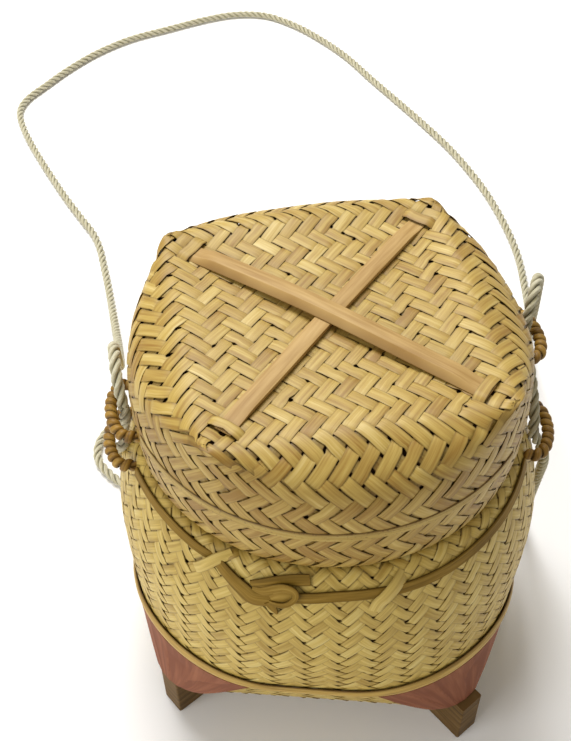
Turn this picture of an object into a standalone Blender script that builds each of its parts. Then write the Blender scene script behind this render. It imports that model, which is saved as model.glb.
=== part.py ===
# Bias-plaited bamboo basket for sticky rice, with a deep telescoping lid.
# Metres, +Z up, front towards -Y. The origin is on the basket's axis, on the surface it stands on.
# The body goes from a square base to a round mouth, the lid from a round rim to a square top.

import math

import bmesh
import bpy
from mathutils import Vector

# Clearance between pieces that touch, and of what is tied over the uneven plaited walls
GAP = 0.0003
LOOSE = 0.0007

# Crossed foot boards
BOARD_HEIGHT = 0.0270
BOARD_THICKNESS = 0.0120
BOARD_REACH = 0.1000
SHORT_BOARD_REACH = 0.0955
BOARD_EDGE_ROUND = 0.0008

# Outer plaited body
BASE_SIDE = 0.1476
BASE_DIAGONAL = 0.1860
BELLY_DIAMETER = 0.1830
BELLY_HEIGHT = 0.0930
SHOULDER_DIAMETER = 0.1606
SHOULDER_HEIGHT = 0.1406
SHOULDER_ROUND = 0.0014
SHOULDER_INNER_DROP = 0.0050
BODY_WALL = 0.0020
BODY_EVEN_SWELL = 0.35

# Inner plaited body and its neck
LINING_WALL = 0.0014
NECK_DIAMETER = 0.1484
NECK_HEIGHT = 0.1630
NECK_TURN = 0.0070
NECK_TURN_SPACE = 0.0040
NECK_SHELF_SHARE = 0.75
MOUTH_HOOP_HEIGHT = 0.0060
MOUTH_HOOP_THICKNESS = 0.0014

# Lid
LID_TURN = math.radians(15.17)
LID_SEAT_GAP = 0.0004
LID_RIM_DIAMETER = 0.1574
LID_BAND_DIAMETER = 0.1606
LID_BAND_HEIGHT = 0.1570
LID_TOP_SIDE = 0.1150
LID_TOP_DIAGONAL = 0.1580
LID_TOP_HEIGHT = 0.1980
LID_SIDE_CURVE = 2.6
LID_WALL = 0.0020
LID_LINING_WALL = 0.0012
LID_STRIP_HEIGHT = 0.1650
LID_STRIP_WIDTH = 0.0046
LID_STRIP_THICKNESS = 0.0008
LID_STRIP_ENDS = (-150.0, -28.0)

# Cross bars on the lid
BAR_LENGTH = 0.1330
BAR_WIDTH = 0.0074
BAR_THICKNESS = 0.0020
BAR_ARCH = 0.0023
BAR_END_TAPER = 0.62
BAR_SIDE_SHARE = 0.75
BAR_TOP_SHARE = 0.80

# Base hoop and corner bindings
HOOP_HEIGHT = 0.0580
HOOP_CORNER_RISE = 0.0050
HOOP_WIDTH = 0.0076
HOOP_THICKNESS = 0.0014
BINDING_SPREAD = 27.0
BINDING_TIP_SPREAD = 10.0
BINDING_THICKNESS = 0.0013
BINDING_TOP_OVER_HOOP = 0.0020
BINDING_FLARE = 0.0016
BINDING_FLARE_END = 0.75
BINDING_SIDE_CURVE = 0.8

# Belt of cane, from ear to ear
BELT_FRONT_DROP = 0.0028
BELT_BACK_DROP = 0.0030
BELT_DROP_CURVE = 1.2
BELT_END_SPACE = 0.0008
BELT_WIDTH = 0.0044
BELT_THICKNESS = 0.0013
KNOT_BEARING = -99.5
KNOT_WIDTH = 0.0105
KNOT_HEIGHT = 0.0085
KNOT_THICKNESS = 0.0040
TAIL_LENGTH = 0.0070
TAIL_WIDTH = 0.0040
TAIL_TAPER = 0.35
TAIL_START_SHIFT = 0.0010
TAIL_LEAN = 0.0015
KNOT_PROFILE = ((0.0, 0.9), (0.35, 1.0), (0.75, 0.82), (1.0, 0.45))

# Ears: half-rings of cane and their wrapping
EYE_OPENING = 0.0056
EAR_HALF_SPAN = 0.0140
EAR_CORE_RADIUS = 0.0012
EAR_CURVE = 0.7
WRAP_CLEAR = 0.00035
WRAP_THICKNESS = 0.00075
WRAP_PITCH = 0.0036
WRAP_SPACE = 0.0009
WRAP_CROWN = 0.0002
WRAP_END_SPACE = 0.0010
WRAP_FLAT_SHARE = 0.42
BODY_EAR_HEIGHT = 0.1358
BODY_EAR_BEARINGS = {"left": -168.0, "right": 0.0}
LID_EAR_HEIGHTS = {"left": 0.1570, "right": 0.1660}
LID_EAR_BEARINGS = {"left": -166.0, "right": 18.0}

# Rope
ROPE_DIAMETER = 0.0050
KNOT_CENTRE = (-0.010, 0.113)
ROPE_KNOT_LENGTH = 0.0170
ROPE_KNOT_RADIUS = 0.0056
ROPE_KNOT_PROFILE = ((0.0, 0.62), (0.18, 0.9), (0.42, 1.0), (0.58, 0.97), (0.82, 0.9), (1.0, 0.62))

# Rope: hand-chosen route points in millimetres, one chain from knot to knot. Each stretch starts
# where the one before it ends.
ROPE_ROUTES = {
    "rope_lower_left": [
        (-19.0, 113.0, 5.9), (-34.0, 113.0, 5.0), (-56.0, 112.0, 3.2), (-84.0, 110.0, 2.8),
        (-109.0, 106.5, 2.8), (-125.0, 98.0, 2.8), (-132.0, 85.0, 2.8), (-130.5, 72.0, 2.8),
        (-122.0, 62.0, 2.8), (-111.0, 54.0, 3.2), (-104.0, 45.0, 9.0), (-101.2, 38.0, 22.0),
        (-99.2, 30.0, 44.0), (-98.0, 20.0, 68.0), (-96.6, 9.0, 90.0), (-94.6, -1.0, 106.0),
        (-91.6, -9.8, 118.0), (-87.9, -15.8, 127.0), (-84.6, -17.9, 132.4),
    ],
    "rope_link_left": [
        (-84.1, -17.9, 136.0), (-83.7, -18.4, 141.0), (-82.2, -19.4, 148.0),
        (-81.0, -20.1, 153.0), (-80.8, -20.2, 157.0), (-80.9, -20.2, 160.6),
    ],
    "rope_fall_left": [
        (-81.6, -19.4, 166.0), (-83.2, -15.0, 172.5), (-85.2, -7.0, 174.8), (-87.8, 2.0, 170.0),
        (-92.0, 16.0, 153.0), (-97.8, 36.0, 124.0), (-106.2, 64.0, 90.5), (-115.0, 94.0, 62.0),
        (-124.0, 124.0, 39.8), (-133.0, 153.0, 23.4), (-142.0, 182.0, 11.9), (-150.5, 209.0, 5.6),
        (-158.0, 231.0, 3.2), (-164.0, 248.0, 2.8),
    ],
    "rope_floor_loop": [
        (-171.0, 262.0, 2.8), (-182.0, 277.0, 2.8), (-198.0, 299.0, 2.8), (-218.0, 329.0, 2.8),
        (-238.0, 361.0, 2.8), (-251.0, 386.0, 2.8), (-255.5, 402.0, 2.8), (-253.0, 417.0, 2.8),
        (-244.0, 434.0, 2.8), (-230.0, 459.0, 2.8), (-212.0, 484.0, 2.8), (-189.0, 506.0, 2.8),
        (-161.0, 523.0, 2.8), (-130.0, 541.0, 2.8), (-106.0, 550.0, 2.8), (-82.0, 550.0, 2.8),
        (-60.0, 539.0, 2.8), (-38.0, 521.0, 2.8), (-12.0, 493.0, 2.8), (11.0, 460.0, 2.8),
        (31.0, 432.0, 2.8), (50.0, 405.0, 2.8), (72.0, 371.0, 2.8), (92.0, 331.0, 2.8),
        (105.0, 294.0, 2.8), (112.5, 262.0, 2.8), (115.5, 232.0, 2.8), (116.6, 206.0, 2.8),
    ],
    "rope_fall_right": [
        (115.2, 189.0, 4.4), (112.2, 171.5, 10.6), (108.0, 150.0, 25.5), (103.0, 127.0, 47.0),
        (97.4, 102.5, 77.0), (92.4, 80.5, 112.0), (88.4, 61.5, 149.0), (85.4, 49.0, 174.6),
        (83.2, 41.0, 181.4), (81.2, 33.0, 180.6), (79.9, 28.0, 175.0), (79.3, 26.0, 170.2),
    ],
    "rope_link_right": [
        (79.3, 25.6, 166.0), (81.2, 20.6, 160.0), (84.0, 12.0, 150.0), (85.8, 4.0, 141.0),
        (86.0, 0.6, 136.0), (86.5, 0.0, 132.4),
    ],
    "rope_lower_right": [
        (89.3, 0.6, 127.0), (92.8, 2.4, 118.0), (95.0, 6.6, 106.0), (96.2, 13.0, 90.0),
        (97.4, 22.0, 64.0), (99.0, 32.0, 36.0), (100.6, 43.0, 15.0), (99.6, 60.0, 4.4),
        (93.0, 78.0, 2.8), (80.0, 95.0, 2.8), (60.0, 107.0, 2.8), (36.0, 112.0, 3.2),
        (14.0, 113.0, 5.0), (-1.0, 113.0, 5.9),
    ],
}
ROPE_STRAIGHT_STEP = 0.0550
ROPE_BEND_STEP = math.radians(25)

# Shares of a wall's rise at which its section is sampled
BODY_SHARES = (0.22, 0.47, 0.73, 1.0)
SHOULDER_SHARES = (0.3, 0.58, 0.8, 1.0)
LID_SHARES = (0.0, 0.33, 0.56, 0.74, 0.88, 0.975)

# Sections are sampled every nine degrees, and closer at the corners
QUARTER_BEARINGS = (0, 9, 18, 27, 36, 41, 45, 49, 54, 63, 72, 81)
BEARINGS = [quarter * 90 + bearing for quarter in range(4) for bearing in QUARTER_BEARINGS]

# Colours, roughness and metallic of each material
FINISHES = {
    "Bamboo lid": ((0.60, 0.42, 0.17), 0.55, 0.0),
    "Bamboo body": ((0.70, 0.56, 0.24), 0.55, 0.0),
    "Bamboo lining": ((0.62, 0.48, 0.22), 0.60, 0.0),
    "Bamboo slat": ((0.65, 0.43, 0.20), 0.45, 0.0),
    "Red binding": ((0.38, 0.15, 0.10), 0.60, 0.0),
    "Dark board": ((0.14, 0.09, 0.03), 0.60, 0.0),
    "Brown cane": ((0.26, 0.15, 0.05), 0.45, 0.0),
    "Ear cane": ((0.42, 0.26, 0.08), 0.45, 0.0),
    "Cotton rope": ((0.72, 0.68, 0.52), 0.90, 0.0),
}


def clear_scene():
    for old in list(bpy.data.objects):
        bpy.data.objects.remove(old)


def make_material(name):
    colour, roughness, metallic = FINISHES[name]
    material = bpy.data.materials.get(name) or bpy.data.materials.new(name)
    material.use_nodes = True
    shader = material.node_tree.nodes["Principled BSDF"]
    shader.inputs["Base Color"].default_value = (*colour, 1.0)
    shader.inputs["Roughness"].default_value = roughness
    shader.inputs["Metallic"].default_value = metallic
    material.diffuse_color = (*colour, 1.0)
    return material


def add_object(name, bm, material, parent, smooth_angle=35):
    bmesh.ops.recalc_face_normals(bm, faces=bm.faces)
    mesh = bpy.data.meshes.new(name)
    bm.to_mesh(mesh)
    bm.free()
    mesh.shade_smooth()
    mesh.set_sharp_from_angle(angle=math.radians(smooth_angle))
    mesh.materials.append(make_material(material))
    piece = bpy.data.objects.new(name, mesh)
    bpy.context.collection.objects.link(piece)
    piece.parent = parent
    return piece


def section_radius(half, diagonal, bearing):
    """Radius of a square with rounded corners, at a bearing in degrees from its side's middle."""
    corner = (math.sqrt(2) * half - diagonal) / (math.sqrt(2) - 1)
    corner = min(max(corner, 0.0), half)
    flat = half - corner
    angle = math.radians(bearing % 90)
    angle = min(angle, math.pi / 2 - angle)
    if half * math.tan(angle) <= flat:
        return half / math.cos(angle)
    reach = flat * (math.cos(angle) + math.sin(angle))
    return reach + math.sqrt(max(reach ** 2 - 2 * flat ** 2 + corner ** 2, 0.0))


def sampled_radius(section, bearing):
    """Radius on the straight edge between the two sample bearings beside a bearing."""
    bearing = bearing % 360
    marks = BEARINGS + [360]
    after = next(i for i, mark in enumerate(marks) if mark > bearing)
    left, right = marks[after - 1], marks[after]
    a = section_radius(*section, left)
    b = section_radius(*section, right)
    span = math.radians(right - left)
    part = math.radians(bearing - left)
    return a * b * math.sin(span) / (a * math.sin(part) + b * math.sin(span - part))


def body_section(height):
    """Half side and half diagonal of the outer body at a height."""
    belly = BELLY_DIAMETER / 2
    bottom = BOARD_HEIGHT + GAP
    if height <= BELLY_HEIGHT:
        share = max(height - bottom, 0.0) / (BELLY_HEIGHT - bottom)
        swell = BODY_EVEN_SWELL * share + (1 - BODY_EVEN_SWELL) * math.sin(share * math.pi / 2)
        half = BASE_SIDE / 2 + (belly - BASE_SIDE / 2) * swell
        diagonal = BASE_DIAGONAL / 2 + (belly - BASE_DIAGONAL / 2) * share
        return half, max(diagonal, half)
    share = (height - BELLY_HEIGHT) / (SHOULDER_HEIGHT - BELLY_HEIGHT)
    radius = belly - (belly - SHOULDER_DIAMETER / 2) * share ** 2
    return radius, radius


def lid_section(height):
    """Half side and half diagonal of the outer lid at a height."""
    band = LID_BAND_DIAMETER / 2
    rim = SHOULDER_HEIGHT + LID_SEAT_GAP
    if height <= LID_BAND_HEIGHT:
        share = (height - rim) / (LID_BAND_HEIGHT - rim)
        radius = LID_RIM_DIAMETER / 2 + (band - LID_RIM_DIAMETER / 2) * share
        return radius, radius
    share = (height - LID_BAND_HEIGHT) / (LID_TOP_HEIGHT - LID_BAND_HEIGHT)
    half = band - (band - LID_TOP_SIDE / 2) * share ** LID_SIDE_CURVE
    diagonal = band - (band - LID_TOP_DIAGONAL / 2) * share
    return half, max(diagonal, half)


def ring_points(half, diagonal, height, turn=0.0):
    points = []
    for bearing in BEARINGS:
        radius = section_radius(half, diagonal, bearing)
        angle = math.radians(bearing) + turn
        points.append(Vector((radius * math.cos(angle), radius * math.sin(angle), height)))
    return points


def loft(rings, closed=False):
    """Skin through rings of equal count: the first ring's face is extruded from ring to ring."""
    bm = bmesh.new()
    first = [bm.verts.new(point) for point in rings[0]]
    edges = [bm.edges.new((first[i], first[(i + 1) % len(first)])) for i in range(len(first))]
    if not closed:
        bm.faces.new(first)
    current = first
    for ring in rings[1:]:
        extruded = bmesh.ops.extrude_edge_only(bm, edges=edges)["geom"]
        fresh = {item for item in extruded if isinstance(item, bmesh.types.BMVert)}
        edges = [item for item in extruded if isinstance(item, bmesh.types.BMEdge)]
        upper = []
        for vert in current:
            upper.append(next(e.other_vert(vert) for e in vert.link_edges if e.other_vert(vert) in fresh))
        edges = [edge for edge in edges if edge.verts[0] in fresh and edge.verts[1] in fresh]
        for vert, point in zip(upper, ring):
            vert.co = point
        current = upper
    if closed:
        for vert, start in zip(current, first):
            vert.co = start.co
        bmesh.ops.remove_doubles(bm, verts=bm.verts, dist=1e-7)
    else:
        bm.faces.new(current)
    quads = [face for face in bm.faces if len(face.verts) == 4]
    bmesh.ops.triangulate(bm, faces=quads, quad_method="SHORT_EDGE")
    return bm


def make_boards(parent):
    """Two boards on edge along the base diagonals, half-lapped where they cross."""
    middle = BOARD_HEIGHT / 2
    slot = BOARD_THICKNESS / 2 + GAP
    boards = {
        "base_board_lower": (math.radians(45), middle - GAP / 2, SHORT_BOARD_REACH, True),
        "base_board_upper": (math.radians(135), middle + GAP / 2, BOARD_REACH, False),
    }
    for name, (turn, lap, near, open_above) in boards.items():
        near, far = -near, BOARD_REACH
        if open_above:
            outline = [
                (near, 0.0), (far, 0.0), (far, BOARD_HEIGHT), (slot, BOARD_HEIGHT),
                (slot, lap), (-slot, lap), (-slot, BOARD_HEIGHT), (near, BOARD_HEIGHT),
            ]
        else:
            outline = [
                (near, 0.0), (-slot, 0.0), (-slot, lap), (slot, lap), (slot, 0.0),
                (far, 0.0), (far, BOARD_HEIGHT), (near, BOARD_HEIGHT),
            ]
        bm = bmesh.new()
        corners = [bm.verts.new((x, -BOARD_THICKNESS / 2, z)) for x, z in outline]
        face = bm.faces.new(corners)
        grown = bmesh.ops.extrude_face_region(bm, geom=[face])["geom"]
        moved = [item for item in grown if isinstance(item, bmesh.types.BMVert)]
        bmesh.ops.translate(bm, verts=moved, vec=(0.0, BOARD_THICKNESS, 0.0))
        ends = [
            edge for edge in bm.edges
            if any(all(abs(vert.co.x - end) < 1e-6 for vert in edge.verts) for end in (near, far))
            and abs(edge.verts[0].co.z - edge.verts[1].co.z) > BOARD_HEIGHT / 2
        ]
        bmesh.ops.bevel(bm, geom=ends, offset=BOARD_EDGE_ROUND, segments=2, profile=0.5, affect="EDGES")
        board = add_object(name, bm, "Dark board", parent)
        board.rotation_euler = (0.0, 0.0, turn)


def make_body(parent):
    """Outer layer up to the shoulder, and the inner layer that rises from it as the neck."""
    bottom = BOARD_HEIGHT + GAP
    half, diagonal = body_section(bottom)
    edge = BODY_WALL
    rings = [ring_points(half - edge, diagonal - edge, bottom)]
    rings.append(ring_points(*body_section(bottom + edge), bottom + edge))
    span = BELLY_HEIGHT - bottom
    heights = [bottom + span * share for share in BODY_SHARES]
    rise = SHOULDER_HEIGHT - SHOULDER_ROUND - BELLY_HEIGHT
    heights += [BELLY_HEIGHT + rise * share for share in SHOULDER_SHARES]
    rings += [ring_points(*body_section(height), height) for height in heights]
    top = SHOULDER_DIAMETER / 2 - SHOULDER_ROUND
    rings.append(ring_points(top, top, SHOULDER_HEIGHT))
    throat = NECK_DIAMETER / 2 + GAP
    rings.append(ring_points(throat, throat, SHOULDER_HEIGHT))
    rings.append(ring_points(throat, throat, SHOULDER_HEIGHT - BODY_WALL))
    inner = [SHOULDER_HEIGHT - SHOULDER_INNER_DROP] + heights[-2::-1] + [bottom + BODY_WALL]
    for height in inner:
        half, diagonal = body_section(height)
        rings.append(ring_points(half - BODY_WALL, diagonal - BODY_WALL, height))
    add_object("body_shell", loft(rings), "Bamboo body", parent)

    outer_inset = BODY_WALL + LOOSE
    floor = bottom + BODY_WALL + GAP
    turn_base = SHOULDER_HEIGHT - BODY_WALL - NECK_TURN
    neck = NECK_DIAMETER / 2
    levels = [floor + edge] + [height for height in heights if height < turn_base - NECK_TURN_SPACE] + [turn_base]
    half, diagonal = body_section(floor)
    rings = [ring_points(half - outer_inset - edge, diagonal - outer_inset - edge, floor)]
    for height in levels:
        half, diagonal = body_section(height)
        rings.append(ring_points(half - outer_inset, diagonal - outer_inset, height))
    shelf = turn_base + NECK_TURN * NECK_SHELF_SHARE
    rings.append(ring_points(neck, neck, shelf))
    rings.append(ring_points(neck, neck, NECK_HEIGHT))
    inside = neck - LINING_WALL
    rings.append(ring_points(inside, inside, NECK_HEIGHT))
    rings.append(ring_points(inside, inside, shelf - LINING_WALL))
    for height in reversed(levels):
        height = max(height - LINING_WALL / 2, floor + LINING_WALL)
        half, diagonal = body_section(height)
        inset = outer_inset + LINING_WALL
        rings.append(ring_points(half - inset, diagonal - inset, height))
    add_object("body_lining", loft(rings), "Bamboo lining", parent)

    outside = inside - GAP
    hoop_top = NECK_HEIGHT - BODY_WALL / 4
    hoop_low = hoop_top - MOUTH_HOOP_HEIGHT
    core = outside - MOUTH_HOOP_THICKNESS
    band = [
        ring_points(outside, outside, hoop_low), ring_points(outside, outside, hoop_top),
        ring_points(core, core, hoop_top), ring_points(core, core, hoop_low),
    ]
    add_object("mouth_hoop", loft(band + band[:1], closed=True), "Bamboo slat", parent)


def make_lid(parent):
    """Outer lid, and the inner layer that slides over the neck."""
    rim = SHOULDER_HEIGHT + LID_SEAT_GAP
    span = LID_TOP_HEIGHT - LID_BAND_HEIGHT
    heights = [LID_BAND_HEIGHT + span * share for share in LID_SHARES]
    edge = LID_WALL / 2

    def insets(inset, low, high):
        rings = [ring_points(*[size - inset for size in lid_section(low)], low, LID_TURN)]
        for height in heights:
            if height < high:
                half, diagonal = lid_section(height)
                rings.append(ring_points(half - inset, diagonal - inset, height, LID_TURN))
        half, diagonal = lid_section(LID_TOP_HEIGHT)
        rings.append(ring_points(half - inset, diagonal - inset, high, LID_TURN))
        return rings

    rings = insets(0.0, rim, LID_TOP_HEIGHT - edge / 2)
    half, diagonal = lid_section(LID_TOP_HEIGHT)
    rings.append(ring_points(half - edge, diagonal - edge, LID_TOP_HEIGHT, LID_TURN))
    rings = rings[::-1] + insets(LID_WALL, rim, LID_TOP_HEIGHT - LID_WALL)
    add_object("lid_shell", loft(rings), "Bamboo lid", parent)

    outer_inset = LID_WALL + LOOSE
    low = rim + LID_WALL / 2
    high = LID_TOP_HEIGHT - LID_WALL - GAP
    rings = insets(outer_inset, low, high)[::-1]
    rings += insets(outer_inset + LID_LINING_WALL, low, high - LID_LINING_WALL)
    add_object("lid_lining", loft(rings), "Bamboo lining", parent)

    def strip_place(bearing):
        turned = bearing - math.degrees(LID_TURN)
        return [
            (level, sampled_radius(lid_section(level), turned) + LOOSE)
            for level in (LID_STRIP_HEIGHT - LID_STRIP_WIDTH / 2, LID_STRIP_HEIGHT + LID_STRIP_WIDTH / 2)
        ]

    start, end = LID_STRIP_ENDS
    add_object("lid_hoop_strip", strip_arc(strip_place, start, end, LID_STRIP_THICKNESS), "Bamboo slat", parent)


def make_bars(parent):
    """Two slats along the lid's diagonals: the upper one arches over the lower one."""
    stations = 12
    bars = {"lid_bar_lower": (math.radians(45), 0.0), "lid_bar_upper": (math.radians(135), BAR_ARCH)}
    for name, (turn, arch) in bars.items():
        rings = []
        for step in range(stations + 1):
            share = 2 * step / stations - 1
            taper = 1.0 if abs(share) < 1 else BAR_END_TAPER
            half_width = BAR_WIDTH / 2 * taper
            rise = LID_TOP_HEIGHT + GAP + arch * math.cos(share * math.pi / 2) ** 2
            along = BAR_LENGTH / 2 * share
            side_top = rise + BAR_THICKNESS * BAR_SIDE_SHARE
            top = rise + BAR_THICKNESS
            rings.append([
                Vector((along, -half_width, rise)), Vector((along, half_width, rise)),
                Vector((along, half_width, side_top)), Vector((along, half_width * BAR_TOP_SHARE, top)),
                Vector((along, -half_width * BAR_TOP_SHARE, top)), Vector((along, -half_width, side_top)),
            ])
        bar = add_object(name, loft(rings), "Bamboo slat", parent)
        bar.rotation_euler = (0.0, 0.0, LID_TURN + turn)


def strip_section(place, bearing, thickness):
    """Four corners of a flat strip's section at a bearing: place gives its low and high edge."""
    angle = math.radians(bearing)
    (low, near), (high, far) = place(bearing)
    corners = ((low, near), (high, far), (high, far + thickness), (low, near + thickness))
    return [Vector((r * math.cos(angle), r * math.sin(angle), z)) for z, r in corners]


def strip_arc(place, start, end, thickness):
    """Flat strip from one bearing to another, against a wall."""
    count = math.ceil((end - start) / 7.5)
    bearings = [start + (end - start) * i / count for i in range(count + 1)]
    return loft([strip_section(place, bearing, thickness) for bearing in bearings])


def hoop_height(bearing):
    """Lowest at the middle of each side, higher over the corners, where it crosses the bindings."""
    return HOOP_HEIGHT + HOOP_CORNER_RISE * math.sin(math.radians(2 * bearing)) ** 2


def make_hoop(parent):
    """Closed hoop round the body above the bindings."""
    def place(bearing):
        levels = (hoop_height(bearing) - HOOP_WIDTH / 2, hoop_height(bearing) + HOOP_WIDTH / 2)
        return [(level, section_radius(*body_section(level), bearing) + hoop_offset(bearing)) for level in levels]

    rings = [strip_section(place, bearing, HOOP_THICKNESS) for bearing in BEARINGS]
    add_object("base_hoop", loft(rings + rings[:1], closed=True), "Bamboo slat", parent)


def belt_height(bearing):
    """At the ears' height at both sides, lower at the front, where the knot pulls it, and at the back."""
    off_front = math.radians(bearing + 90)
    drop = BELT_FRONT_DROP if math.cos(off_front) > 0 else BELT_BACK_DROP
    return BODY_EAR_HEIGHT - drop * abs(math.cos(off_front)) ** BELT_DROP_CURVE


def make_belt(parent):
    """Flat cane in two runs, front and back, each from ear to ear."""
    def place(bearing):
        levels = (belt_height(bearing) - BELT_WIDTH / 2, belt_height(bearing) + BELT_WIDTH / 2)
        return [(level, sampled_radius(body_section(level), bearing) + LOOSE) for level in levels]

    wall = body_section(BODY_EAR_HEIGHT)[0]
    clear = math.degrees((EAR_HALF_SPAN + ear_tube_radius() + BELT_END_SPACE) / wall)
    left, right = BODY_EAR_BEARINGS["left"], BODY_EAR_BEARINGS["right"]
    runs = {"belt_front": (left + clear, right - clear), "belt_back": (right + clear, left + 360 - clear)}
    for name, (start, end) in runs.items():
        add_object(name, strip_arc(place, start, end, BELT_THICKNESS), "Brown cane", parent)


def hoop_offset(bearing):
    """The base hoop stands off where it crosses the corner bindings."""
    to_corner = abs((bearing % 90) - 45)
    share = min(max((BINDING_SPREAD + 9 - to_corner) / 9, 0.0), 1.0)
    return LOOSE + (BINDING_THICKNESS + LOOSE) * share


def make_bindings(parent):
    """Gussets over the base corners, widest under the hoop and narrowing to the foot."""
    low = BOARD_HEIGHT + 2 * GAP
    rows = 4
    columns = 8
    for index, corner in enumerate((-135, -45, 45, 135)):
        grid = {}
        for side in (0, 1):
            for i in range(columns + 1):
                lean = 2 * i / columns - 1
                for j in range(rows + 1):
                    share = j / rows
                    spread = BINDING_TIP_SPREAD + (BINDING_SPREAD - BINDING_TIP_SPREAD) * share ** BINDING_SIDE_CURVE
                    bearing = corner + spread * lean
                    height = low + (hoop_height(bearing) + BINDING_TOP_OVER_HOOP - low) * share
                    flare = BINDING_FLARE * max(1 - share / BINDING_FLARE_END, 0.0) * (1 - lean ** 2)
                    wall = sampled_radius(body_section(height), bearing)
                    radius = wall + LOOSE + flare + side * BINDING_THICKNESS
                    angle = math.radians(bearing)
                    grid[side, i, j] = Vector((radius * math.cos(angle), radius * math.sin(angle), height))
        bm = bmesh.new()
        verts = {key: bm.verts.new(point) for key, point in grid.items()}
        for side in (0, 1):
            for i in range(columns):
                for j in range(rows):
                    bm.faces.new([verts[side, i, j], verts[side, i + 1, j],
                                  verts[side, i + 1, j + 1], verts[side, i, j + 1]])
        rim = [(i, 0) for i in range(columns)] + [(columns, j) for j in range(rows)]
        rim += [(i, rows) for i in range(columns, 0, -1)] + [(0, j) for j in range(rows, 0, -1)]
        for (i, j), (k, m) in zip(rim, rim[1:] + rim[:1]):
            bm.faces.new([verts[0, i, j], verts[0, k, m], verts[1, k, m], verts[1, i, j]])
        add_object(f"corner_binding_{index + 1}", bm, "Red binding", parent)


def make_knot(parent):
    """Tucked knot of the belt: a low rounded lump over the cane, with its tail pointing down."""
    height = belt_height(KNOT_BEARING)
    angle = math.radians(KNOT_BEARING)
    wall = sampled_radius(body_section(height - BELT_WIDTH / 2), KNOT_BEARING)
    reach = wall + LOOSE + BELT_THICKNESS + LOOSE
    centre = Vector((math.cos(angle), math.sin(angle), 0.0)) * reach + Vector((0, 0, height))
    out = Vector((math.cos(angle), math.sin(angle), 0.0))
    side = Vector((-math.sin(angle), math.cos(angle), 0.0))
    up = Vector((0.0, 0.0, 1.0))
    count = 12
    rings = []
    for depth, size in KNOT_PROFILE:
        ring = []
        for i in range(count):
            turn = 2 * math.pi * i / count
            ring.append(centre + out * KNOT_THICKNESS * depth
                        + side * math.cos(turn) * KNOT_WIDTH / 2 * size
                        + up * math.sin(turn) * KNOT_HEIGHT / 2 * size)
        rings.append(ring)
    add_object("belt_knot", loft(rings), "Brown cane", parent)

    root_height = height - KNOT_HEIGHT / 2 - GAP
    rings = []
    for share in (0.0, 0.5, 1.0):
        level = root_height - TAIL_LENGTH * share
        near = sampled_radius(body_section(level), KNOT_BEARING) + LOOSE
        width = TAIL_WIDTH / 2 * (1 - TAIL_TAPER * share)
        shift = side * (TAIL_START_SHIFT - TAIL_LEAN * share)
        base = Vector((0, 0, level)) + shift
        rings.append([
            base + out * near - side * width, base + out * near + side * width,
            base + out * (near + BELT_THICKNESS) + side * width, base + out * (near + BELT_THICKNESS) - side * width,
        ])
    add_object("belt_tail", loft(rings), "Brown cane", parent)


def ear_tube_radius():
    return EAR_CORE_RADIUS + WRAP_CLEAR + WRAP_THICKNESS + WRAP_CROWN


class Ear:
    """Centre line of a half-ring that stands out from a wall, in a level plane."""

    def __init__(self, bearing, height, wall):
        self.bearing = math.radians(bearing)
        self.height = height
        self.wall = wall
        self.reach = EYE_OPENING + ear_tube_radius()
        count = 240
        self.table = [self.raw(math.pi * i / count) for i in range(count + 1)]
        self.lengths = [0.0]
        for a, b in zip(self.table, self.table[1:]):
            self.lengths.append(self.lengths[-1] + (b - a).length)
        self.length = self.lengths[-1]

    def raw(self, angle):
        out = GAP + self.reach * math.sin(angle) ** EAR_CURVE
        along = EAR_HALF_SPAN * math.cos(angle)
        bearing = self.bearing + along / self.wall
        radius = self.wall + out
        return Vector((radius * math.cos(bearing), radius * math.sin(bearing), self.height))

    def point(self, distance):
        distance = min(max(distance, 0.0), self.length)
        i = next((k for k in range(1, len(self.lengths)) if self.lengths[k] >= distance), len(self.lengths) - 1)
        part = (distance - self.lengths[i - 1]) / (self.lengths[i] - self.lengths[i - 1])
        return self.table[i - 1].lerp(self.table[i], part)

    def frame(self, distance):
        step = self.length / 60
        ahead = self.point(distance + step) - self.point(distance - step)
        tangent = ahead.normalized()
        up = Vector((0.0, 0.0, 1.0))
        return tangent, tangent.cross(up), up

    def around(self, distance, angle, radius):
        tangent, out, up = self.frame(distance)
        return self.point(distance) + (out * math.cos(angle) + up * math.sin(angle)) * radius


def least_gap_of_turns(ear, start, turns, points, width, low):
    """Least distance between the facing edges of one turn and the next, on sampled points."""
    least = 1.0
    for step in range(int((turns - 1) * points) + 1):
        angle = 2 * math.pi * step / points
        a = ear.around(start + WRAP_PITCH * angle / (2 * math.pi) + width / 2, angle, low)
        b = ear.around(start + WRAP_PITCH * (angle / (2 * math.pi) + 1) - width / 2, angle, low)
        least = min(least, (a - b).length)
    return least


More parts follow.
